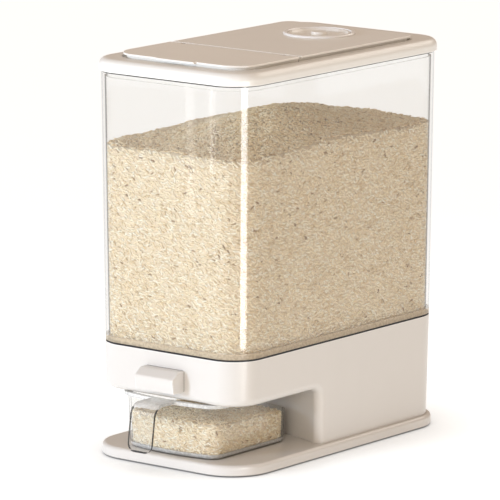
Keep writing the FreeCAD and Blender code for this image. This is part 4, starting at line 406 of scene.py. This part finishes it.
def clear(name, edge, body, haze, painted_rings, inner=None, strip=False):
    """Clear polished plastic: mirror reflections by angle, dark edge-on, faint haze and scuffs.

    The listed rings are painted light: for each, the heights between which it lies, how cloudy it
    is and its colour. Inner is the tint that the faces of the bin's room have edge-on. With strip,
    the narrow faces of the strip handle get painted shade, so they are dark too.
    """
    made = Nodes(name)
    weight = made.add("ShaderNodeLayerWeight")
    weight.inputs["Blend"].default_value = 0.5
    grazing = weight.outputs["Facing"]
    upright = made.span(made.math("ABSOLUTE", made.normal()["Z"]), 1.0, 0.1)
    outline = made.math("SUBTRACT", grazing, EDGE_START)
    outline = made.math("MULTIPLY", made.math("MULTIPLY", outline, EDGE_RISE, limit=True), upright)
    tint = made.ramp(outline, ((0.0, body), (1.0, edge)))
    if inner:
        room_tint = made.ramp(outline, ((0.0, body), (0.4, inner)))
        tint = made.blend(made.inside_bin(), tint, room_tint)
    if strip:
        tint = made.strip_sides(tint)
    through = made.add("ShaderNodeBsdfTransparent")
    made.link(tint, through.inputs["Color"])
    gloss = made.add("ShaderNodeBsdfGlossy")
    made.link(made.span(made.noise(35, 4, 0.6), 0.015, 0.06), gloss.inputs["Roughness"])
    made.link(made.bump(made.noise(9, 1), 0.05, 0.0005), gloss.inputs["Normal"])
    mirror = made.span(made.math("POWER", grazing, 5.0), 0.04, 1.0)
    shine = made.mixed(mirror, through, gloss)
    cloud = made.span(made.noise(60, 5, 0.7, (1, 1, 0.3)), haze * 0.5, haze * 1.5)
    scuffs = ((0.3, (0.86, 0.86, 0.84)), (0.7, (0.93, 0.93, 0.91)))
    colour = made.ramp(made.noise(120, 3), scuffs)
    height = made.parts(made.coords)["Z"]
    # Painted light: each ring lays a cloudy band of its own colour over the plastic.
    for low, high, share, hue in painted_rings:
        over = made.math("GREATER_THAN", height, low)
        ring = made.math("MULTIPLY", over, made.math("LESS_THAN", height, high))
        cloud = made.math("ADD", cloud, made.math("MULTIPLY", ring, share))
        dull = tuple(c * 0.72 for c in hue)
        flecks = made.ramp(made.noise(420, 2, 0.6), ((0.35, dull), (0.6, hue)))
        colour = made.blend(ring, colour, flecks)
    made.feed(Base_Color=colour)
    made.set(Roughness=0.3)
    veil = made.mixed(cloud, shine, made.shader)
    made.link(veil.outputs[0], made.output.inputs["Surface"])
    return made.material


def rice_material(name, stops, bump=0.0):
    """Polished rice: each grain has its own tint, with a chalky speckle and a waxy surface."""
    made = Nodes(name)
    tint = made.add("ShaderNodeAttribute", attribute_name="tint").outputs["Fac"]
    speckle = made.ramp(made.noise(420, 3, 0.6), ((0.3, (0.86, 0.84, 0.8)), (0.6, WHITE)))
    made.feed(
        Base_Color=made.multiply(made.ramp(tint, stops), speckle),
        Roughness=made.span(made.noise(700, 2), 0.3, 0.5),
    )
    if bump:
        made.feed(Normal=made.bump(made.noise(260, 3, 0.6, (1, 1, 2.4)), bump, 0.0012))
    made.set(
        Subsurface_Weight=0.12,
        Subsurface_Scale=0.002,
        Subsurface_Radius=(1.0, 0.8, 0.55),
        Specular_IOR_Level=0.2,
    )
    return made.material


def paint(material, *names):
    """Gives CAD nodes a material."""
    for name in names:
        for slot in nodes[name].material_slots:
            slot.material = material


LID_SHEEN = (0.3, 0.42)
SHELL = moulded("shell_white", (0.705, 0.675, 0.635))
# The lid's pieces and the bezel set how strongly the painted highlight lightens their edges.
LID = moulded("lid_white", (0.88, 0.865, 0.82), LID_SHEEN, edge_highlight=0.2)
PANEL = moulded("panel_white", (0.955, 0.935, 0.885), LID_SHEEN, edge_highlight=0.2)
FLAP = moulded("flap_white", (0.99, 0.965, 0.905), LID_SHEEN, edge_highlight=0.2)
BEZEL = moulded("bezel_white", (0.95, 0.94, 0.92), (0.18, 0.3), edge_highlight=1.0)
INSIDE = moulded("inner_white", (0.80, 0.79, 0.77), (0.4, 0.55), grain=0.2)
BLACK_RUBBER = rubber("black_rubber_fine", (0.012, 0.012, 0.013))
GREY_RUBBER = rubber("grey_rubber_fine", (0.12, 0.12, 0.12))
STEEL = plated("zinc_plate")

# Rings of painted light: the foot of the bin's room, with the tint of lit rice painted over the
# rice in its throat, which lies in shade, and a pale painted glow on the cup's foot and rim.
BIN_ROOM_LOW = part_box("bin_seal")[1][2] + 0.0026
CUP_LOW, CUP_HIGH = (corner[2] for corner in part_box("measuring_cup"))
LIT_RICE_HUE, GLOW_HUE = (0.88, 0.73, 0.52), (0.95, 0.95, 0.93)
BIN_CLEAR = clear(
    "bin_clear",
    edge=(0.8, 0.83, 0.84),
    body=(0.98, 0.982, 0.98),
    haze=0.02,
    painted_rings=((0.0, BIN_ROOM_LOW + 0.0022, 0.45, LIT_RICE_HUE),),
    inner=(0.08, 0.08, 0.08),
)
CUP_CLEAR = clear(
    "cup_clear",
    edge=(0.2, 0.21, 0.2),
    body=(0.984, 0.986, 0.984),
    haze=0.025,
    painted_rings=((0.0, CUP_LOW + 0.0044, 0.5, GLOW_HUE), (CUP_HIGH - 0.0034, 1.0, 0.5, GLOW_HUE)),
    strip=True,
)

# The grains are pale along the walls; on top they take a warmer copy of the tints, painted shade
# for the top, which lies in shade.
GRAIN_TINTS = (
    (0.0, (0.34, 0.22, 0.11)),
    (0.03, (0.74, 0.57, 0.34)),
    (0.25, (0.93, 0.78, 0.54)),
    (0.7, (0.98, 0.87, 0.66)),
    (1.0, (1.0, 0.95, 0.81)),
)
SHADED_TINTS = tuple((place, (r, g * 0.94, b * 0.84)) for place, (r, g, b) in GRAIN_TINTS)
# The rice's body is darker than the grains: painted shade for the gaps between them.
MASS_SHADE_TINTS = ((0.0, (0.6, 0.46, 0.29)), (1.0, (0.92, 0.79, 0.59)))
GRAIN = rice_material("rice_grain", GRAIN_TINTS)
SHADED_GRAIN = rice_material("rice_grain_shaded", SHADED_TINTS)
SHADED_MASS = rice_material("rice_mass_shaded", MASS_SHADE_TINTS, 0.5)

paint(SHELL, "foot_plate", "base_housing", "button_cap")
paint(LID, "lid_frame")
paint(PANEL, "rear_panel", "dial_disc")
paint(FLAP, "fill_flap")
paint(BEZEL, "dial_bezel")
paint(INSIDE, "funnel_tray", "gate_guide_left", "gate_guide_right", "button_yoke", "shutter_gate")
paint(INSIDE, "desiccant_box", "desiccant_cover", "dial_clip")
paint(BLACK_RUBBER, "bin_seal", "lid_seal")
paint(GREY_RUBBER, "foot_pads", "wiper_seal", "flap_gasket")
paint(STEEL, "foot_screws", "guide_screws", "yoke_screws", "hinge_pin_left", "hinge_pin_right")
paint(STEEL, "return_spring_left", "return_spring_right")
paint(BIN_CLEAR, "grain_bin")
paint(CUP_CLEAR, "measuring_cup")


# ---------------------------------------------------------------- rice, in millimetres


# The bin's room: the height of its foot, how far its walls rise, and its half width, half depth
# and corner radius, each at the foot and as what the draft adds up to the shoulder.
ROOM_FOOT, ROOM_RISE = 107.0, 247.0
ROOM_PLAN = ((82.9, 2.9), (149.8, 2.1), (27.2, 1.2))

# Half width, half depth and corner radius of the throat under the room.
THROAT_PLAN = (79.7, 146.6, 24.0)

# The body of the bin's rice: its rings in mouth and funnel, each with its plan and its height,
# then the heights of those in the room, and the height of the brim that its top starts from.
MOUTH_RICE = (28.6, 4.2, 1.6, (0, -100))
FUNNEL_RINGS = (
    (MOUTH_RICE, 68.9),
    (MOUTH_RICE, 74.0),
    ((76.4, 143.4, 20.6), 104.2),
    ((78.4, 145.3, 22.7), 104.8),
    ((78.4, 145.3, 22.7), 109.9),
)
BIN_RINGS, BIN_BRIM = (110.6, 150, 200, 250, 275), 285

# The body of the cup's rice: the height and inset of each ring, and the height of its brim.
CUP_RINGS, CUP_BRIM = ((13.6, 4.0), (14.6, 2.0), (20.0, 1.6), (30.0, 1.6)), 41.0

# Between which heights grains lie along the walls.
BIN_GRAINS, THROAT_GRAINS, CUP_GRAINS = (109.7, 330.0), (105.4, 109.6), (14.3, 50.0)

# The part of an outline's length that a mesh of grains along a wall takes.
ALL_ROUND = (0.0, 1.0)
BIN_SIDES = {
    "right": (0.06, 0.44),
    "rear": (0.44, 0.56),
    "left": (0.56, 0.94),
    "front": (0.94, 1.06),
}

# The cup: its wall, the flare of its sides, the top of its floor and the rise from there to its
# rim; the radii of its bowed front, front corners and rear corners; its half width, how far in
# front of the middle its rear lies, and the centre of its front's bow along Y.
CUP_WALL, CUP_FLARE, CUP_FOOT, CUP_RISE = 1.8, 2.0, 13.2, 49.4
CUP_BOW, CUP_FRONT_CORNER, CUP_REAR_CORNER = 210.0, 13.0, 20.0
CUP_HALF, CUP_REAR, CUP_BOW_CENTRE = 52.5, 33.0, 59.0

# Points along each corner and each side of a rounded rectangle.
ARC_STEPS, SIDE_STEPS = 10, 14

# A heap's body: how far inside its room's walls and below the rice's level, and its tint, darkened
# as painted shade for the gaps between grains.
BODY_INSET, BODY_SINK, BODY_SHADE_TINT = 1.6, 0.6, 0.6

# Grains: their gap to the wall, how they scatter off it, how far below the level they end, and
# how far inside the outline the top ones lie.
WALL_GAP, WALL_SCATTER, WALL_BRINK, TOP_MARGIN = 0.3, 0.25, 0.4, 3.4

# A grain: rings of corners at a share of its half length and with a share of its half width, and
# its three half sizes.
GRAIN_RINGS = ((-0.5, 0.95), (0.54, 0.88))
GRAIN_SIDES = 5
GRAIN_HALF = np.array((2.9, 0.95, 0.8))


def rounded_outline(half_x, half_y, radius, middle=(0.0, 0.0)):
    """Points round a rounded rectangle, anticlockwise from the right end of its front edge."""
    points = []
    corners = (
        (half_x - radius, radius - half_y, -90),
        (half_x - radius, half_y - radius, 0),
        (radius - half_x, half_y - radius, 90),
        (radius - half_x, radius - half_y, 180),
    )
    for number, (x, y, start) in enumerate(corners):
        for step in range(ARC_STEPS + 1):
            angle = math.radians(start + 90 * step / ARC_STEPS)
            points.append((x + radius * math.cos(angle), y + radius * math.sin(angle)))
        end = points[-1]
        x, y, start = corners[(number + 1) % 4]
        angle = math.radians(start)
        goal = (x + radius * math.cos(angle), y + radius * math.sin(angle))
        for step in range(1, SIDE_STEPS):
            t = step / SIDE_STEPS
            points.append((end[0] + (goal[0] - end[0]) * t, end[1] + (goal[1] - end[1]) * t))
    return np.array(points) + np.array(middle)


def arc_points(middle, radius, start, end, steps):
    """Points on an arc, both ends included."""
    angles = np.linspace(start, end, steps + 1)
    x = middle[0] + radius * np.cos(angles)
    y = middle[1] + radius * np.sin(angles)
    return np.column_stack([x, y])


def run_points(start, end, steps):
    """Points between start and end, without them."""
    shares = np.linspace(0, 1, steps + 1)[1:-1, None]
    return np.asarray(start) + (np.asarray(end) - np.asarray(start)) * shares


def bin_outline(z, inset=0.0):
    """Outline of the bin's room at height z, set in."""
    t = (z - ROOM_FOOT) / ROOM_RISE
    return rounded_outline(*(foot + draft * t - inset for foot, draft in ROOM_PLAN))


def throat_outline(z):
    """Outline of the rice in the throat under the bin, the same at every height."""
    return rounded_outline(*THROAT_PLAN)


def cup_outline(z, inset=0.0):
    """Outline of the cup's room at height z, set in: a bowed front and rounded corners."""
    grow = -CUP_WALL + CUP_FLARE * (z - CUP_FOOT) / CUP_RISE - inset
    bow, near, back = CUP_BOW + grow, CUP_FRONT_CORNER + grow, CUP_REAR_CORNER + grow
    half, rear, bow_y = CUP_HALF + grow, grow - CUP_REAR, CUP_BOW_CENTRE
    near_y = bow_y - math.sqrt((bow - near) ** 2 - (half - near) ** 2)
    turn = math.atan2(near_y - bow_y, half - near)
    front = arc_points((0, bow_y), bow, -math.pi - turn, turn, 14)
    right = arc_points((half - near, near_y), near, turn, 0, 8)
    rear_right = arc_points((half - back, rear - back), back, 0, math.pi / 2, 10)
    rear_left = arc_points((back - half, rear - back), back, math.pi / 2, math.pi, 10)
    left = arc_points((near - half, near_y), near, math.pi, math.pi - turn, 8)
    side = run_points(right[-1], rear_right[0], 14)
    across = run_points(rear_right[-1], rear_left[0], 12)
    other = run_points(rear_left[-1], left[0], 14)
    return np.vstack([front, right[1:], side, rear_right, across, rear_left, other, left[:-1]])


def bin_level(x, y):
    """Height of the rice in the bin: a low mound that slopes to the walls, with small waves."""
    mound = 24.2 * np.exp(-((x - 7.9) / 59.6) ** 2 - ((y + 3.3) / 88.0) ** 2)
    long_waves = 0.6 * np.sin(x * 0.071 + 1.3) * np.cos(y * 0.049 - 0.4)
    waves = long_waves + 0.35 * np.sin(x * 0.19 + y * 0.13)
    return 287.3 + mound + waves - 0.009 * x + 0.005 * y


def cup_level(x, y):
    """Height of the rice in the cup, lower towards its low rear wall."""
    waves = 0.7 * np.sin(x * 0.09 + 0.5) + 0.6 * np.cos(y * 0.11 + x * 0.05)
    return 40.4 - 0.035 * (y + 60.0) - 1.5 * np.exp(-(((y + 33.0) / 13.0) ** 2)) + waves


def add_piece(name, mesh, body, material):
    """Makes an object of a mesh, with its material, that rides on a body."""
    mesh.materials.append(material)
    made = bpy.data.objects.new(name, mesh)
    bpy.context.scene.collection.objects.link(made)
    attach(made, body)


def with_height(plan, z):
    """Plan points at one height, or at heights of their own."""
    return np.column_stack([plan, np.broadcast_to(z, len(plan))])


def heap_body(name, rings, plan, level, steps, body):
    """A closed mesh through rings, from the lowest up, with a top that follows the rice's level."""
    rings = list(rings)
    middle = plan.mean(axis=0)
    for step in range(steps):
        inner = middle + (plan - middle) * (1 - step / steps) ** 0.9
        rings.append(with_height(inner, level(inner[:, 0], inner[:, 1]) - BODY_SINK))
    count = len(rings[0])
    points = np.concatenate(rings) * MM
    faces = []
    for ring in range(len(rings) - 1):
        low, high = ring * count, (ring + 1) * count
        for step in range(count):
            after = (step + 1) % count
            faces.append((low + step, low + after, high + after, high + step))
    faces.append(tuple(range(count))[::-1])
    faces.append(tuple(range(len(points) - count, len(points))))
    mesh = bpy.data.meshes.new(name)
    mesh.from_pydata(points.tolist(), [], faces)
    mesh.polygons.foreach_set("use_smooth", [True] * len(mesh.polygons))
    tints = mesh.attributes.new("tint", "FLOAT", "POINT")
    tints.data.foreach_set("value", [BODY_SHADE_TINT] * len(points))
    add_piece(name, mesh, body, SHADED_MASS)


def grain_shape():
    """A unit grain: points, and its faces as numbers of corners and the corners in turn."""
    points = [(-1.0, 0.0, 0.0)]
    for along, wide in GRAIN_RINGS:
        for step in range(GRAIN_SIDES):
            angle = 2 * math.pi * step / GRAIN_SIDES
            points.append((along, wide * math.cos(angle), wide * math.sin(angle)))
    points.append((1.0, 0.0, 0.0))
    last = len(points) - 1
    faces = []
    for step in range(GRAIN_SIDES):
        after = (step + 1) % GRAIN_SIDES
        faces.append((0, 1 + after, 1 + step))
        for ring in range(len(GRAIN_RINGS) - 1):
            low = 1 + ring * GRAIN_SIDES
            high = low + GRAIN_SIDES
            faces.append((low + step, low + after, high + after, high + step))
        top = 1 + (len(GRAIN_RINGS) - 1) * GRAIN_SIDES
        faces.append((top + step, top + after, last))
    return np.array(points), np.array([len(face) for face in faces]), np.concatenate(faces)


def grains_mesh(name, centres, axes, sizes, body, material, random):
    """One mesh of many grains. Axes holds each one's three directions, sizes its half lengths."""
    shape, counts, corners = grain_shape()
    total = len(centres)
    placed = np.einsum("gij,gpj->gpi", axes, shape[None] * sizes[:, None, :])
    placed = placed + centres[:, None, :]
    points = (placed.reshape(-1, 3) * MM).astype(np.float32)
    loops = (corners[None] + np.arange(total)[:, None] * len(shape)).ravel().astype(np.int32)
    lengths = np.tile(counts, total).astype(np.int32)
    starts = np.concatenate(([0], np.cumsum(lengths)[:-1])).astype(np.int32)
    mesh = bpy.data.meshes.new(name)
    mesh.vertices.add(len(points))
    mesh.vertices.foreach_set("co", points.ravel())
    mesh.loops.add(len(loops))
    mesh.loops.foreach_set("vertex_index", loops)
    mesh.polygons.add(len(lengths))
    mesh.polygons.foreach_set("loop_start", starts)
    mesh.polygons.foreach_set("loop_total", lengths)
    mesh.polygons.foreach_set("use_smooth", np.ones(len(lengths), dtype=bool))
    mesh.update(calc_edges=True)
    tint = np.repeat(random.random(total), len(shape)).astype(np.float32)
    mesh.attributes.new("tint", "FLOAT", "POINT").data.foreach_set("value", tint)
    add_piece(name, mesh, body, material)


def unit(vectors):
    """Vectors, each scaled to length 1."""
    return vectors / np.linalg.norm(vectors, axis=1, keepdims=True)


def grain_frames(normals, random, lift, spread, slant=0.0):
    """Directions of grains that lie on a surface.

    On an upright surface they lie about slant off level, by spread. On a flat one they point
    anywhere. Lift is how far they tip out of the surface.
    """
    total = len(normals)
    up = np.tile((0.0, 0.0, 1.0), (total, 1))
    flat = np.abs(normals[:, 2]) > 0.7
    up[flat] = (0.0, 1.0, 0.0)
    level = unit(np.cross(up, normals))
    rise = np.cross(normals, level)
    turn = random.normal(slant, spread, total)
    turn[flat] = random.uniform(0, math.pi, flat.sum())
    tip = random.normal(0, lift, total)
    along = level * np.cos(turn)[:, None] + rise * np.sin(turn)[:, None]
    along = unit(along * np.cos(tip)[:, None] + normals * np.sin(tip)[:, None])
    across = unit(np.cross(normals, along))
    roll = random.uniform(-0.9, 0.9, total)
    third = np.cross(along, across)
    second = across * np.cos(roll)[:, None] + third * np.sin(roll)[:, None]
    return np.stack([along, second, np.cross(along, second)], axis=2)


def grain_sizes(total, random):
    """Half lengths of grains, each a little off the usual ones."""
    return GRAIN_HALF[None] * random.uniform(0.86, 1.1, (total, 3))


def reach_along(axes, sizes, directions):
    """How far each grain reaches from its centre along its direction."""
    turned = np.einsum("gij,gi->gj", axes, directions)
    return np.sqrt(((turned * sizes) ** 2).sum(axis=1))


def jittered(length, height, pitch, random):
    """Places on a strip as shares of its sides, one in each cell of a grid, shaken."""
    columns = max(1, round(length / pitch))
    rows = max(1, round(height / pitch))
    u, v = np.meshgrid(np.arange(columns), np.arange(rows))
    u = (u.ravel() + random.random(columns * rows)) / columns
    v = (v.ravel() + random.random(columns * rows)) / rows
    return u, v


def wall_grains(name, outline_at, span, heights, level, body, pitch, seed):
    """Grains against a standing wall, along part of its outline and up to the rice's level."""
    random = np.random.default_rng(seed)
    low, top = heights
    plan = outline_at(low)
    closed = np.vstack([plan, plan[:1]])
    lengths = np.linalg.norm(np.diff(closed, axis=0), axis=1)
    run = np.concatenate(([0], np.cumsum(lengths)))
    start, end = span[0] * run[-1], span[1] * run[-1]
    u, v = jittered(end - start, top - low, pitch, random)
    place = (start + u * (end - start)) % run[-1]
    z = low + v * (top - low)
    segment = np.clip(np.searchsorted(run, place, side="right") - 1, 0, len(plan) - 1)
    part = (place - run[segment]) / (run[segment + 1] - run[segment])
    # The outline is known at a few heights and interpolated between them.
    cuts = np.linspace(low, top, 12)
    plans = np.stack([outline_at(cut) for cut in cuts])
    plans = np.concatenate([plans, plans[:, :1]], axis=1)
    row = np.clip((z - low) / (cuts[1] - cuts[0]), 0, len(cuts) - 1.001)
    near = row.astype(int)
    share = (row - near)[:, None]
    first = plans[near, segment] * (1 - share) + plans[near + 1, segment] * share
    second = plans[near, segment + 1] * (1 - share) + plans[near + 1, segment + 1] * share
    spot = first + (second - first) * part[:, None]
    along = unit(second - first)
    normals = np.column_stack([-along[:, 1], along[:, 0], np.zeros(len(spot))])
    keep = z < np.minimum(level(spot[:, 0], spot[:, 1]), top) - WALL_BRINK
    spot, normals, z = spot[keep], normals[keep], z[keep]
    axes = grain_frames(normals, random, lift=0.24, spread=0.5, slant=0.22)
    sizes = grain_sizes(len(z), random)
    depth = reach_along(axes, sizes, normals) + WALL_GAP
    depth = depth + random.exponential(WALL_SCATTER, len(z))
    centres = np.column_stack([spot, z]) + normals * depth[:, None]
    downwards = reach_along(axes, sizes, np.tile((0.0, 0.0, 1.0), (len(z), 1)))
    centres[:, 2] = np.maximum(centres[:, 2], low + downwards + WALL_GAP)
    grains_mesh(name, centres, axes, sizes, body, GRAIN, random)


def top_grains(name, plan, level, body, pitch, seed):
    """Grains that lie on top of the rice."""
    random = np.random.default_rng(seed)
    low, high = plan.min(axis=0), plan.max(axis=0)
    u, v = jittered(high[0] - low[0], high[1] - low[1], pitch, random)
    spot = low + np.column_stack([u, v]) * (high - low)
    edge = unit(np.roll(plan, -1, axis=0) - plan)
    inward = np.column_stack([-edge[:, 1], edge[:, 0]])
    inside = np.array([((p - plan) * inward).sum(axis=1).min() for p in spot])
    x, y = spot[inside > TOP_MARGIN].T
    z = level(x, y)
    slope_x = level(x - 0.5, y) - level(x + 0.5, y)
    slope_y = level(x, y - 0.5) - level(x, y + 0.5)
    normals = unit(np.column_stack([slope_x, slope_y, np.ones(len(x))]))
    axes = grain_frames(normals, random, lift=0.2, spread=0.6)
    sizes = grain_sizes(len(x), random)
    centres = np.column_stack([x, y, z + random.uniform(-0.1, 0.6, len(x))])
    # The top grains take the warmer tints of painted shade.
    grains_mesh(name, centres, axes, sizes, body, SHADED_GRAIN, random)


def fill_bin():
    """Rice in the bin: a body through funnel and bin, grains against its walls and on top."""
    rings = [with_height(rounded_outline(*plan), z) for plan, z in FUNNEL_RINGS]
    rings += [with_height(bin_outline(z, BODY_INSET), z) for z in BIN_RINGS]
    brim = bin_outline(BIN_BRIM, BODY_INSET)
    heap_body("rice_body", rings, brim, bin_level, 16, "base")
    for seed, (side, span) in enumerate(BIN_SIDES.items(), start=1):
        name = "rice_grains_" + side
        wall_grains(name, bin_outline, span, BIN_GRAINS, bin_level, "base", 2.75, seed)
    name = "rice_grains_throat"
    wall_grains(name, throat_outline, ALL_ROUND, THROAT_GRAINS, bin_level, "base", 2.8, 8)
    top_grains("rice_grains_top", bin_outline(BIN_BRIM), bin_level, "base", 2.45, 9)


def fill_cup():
    """One measure of rice in the cup."""
    rings = [with_height(cup_outline(z, inset), z) for z, inset in CUP_RINGS]
    brim = cup_outline(CUP_BRIM, BODY_INSET)
    heap_body("cup_rice_body", rings, brim, cup_level, 10, "cup")
    name = "cup_rice_grains_wall"
    wall_grains(name, cup_outline, ALL_ROUND, CUP_GRAINS, cup_level, "cup", 2.6, 21)
    top_grains("cup_rice_grains_top", cup_outline(CUP_BRIM), cup_level, "cup", 2.4, 22)


fill_bin()
fill_cup()
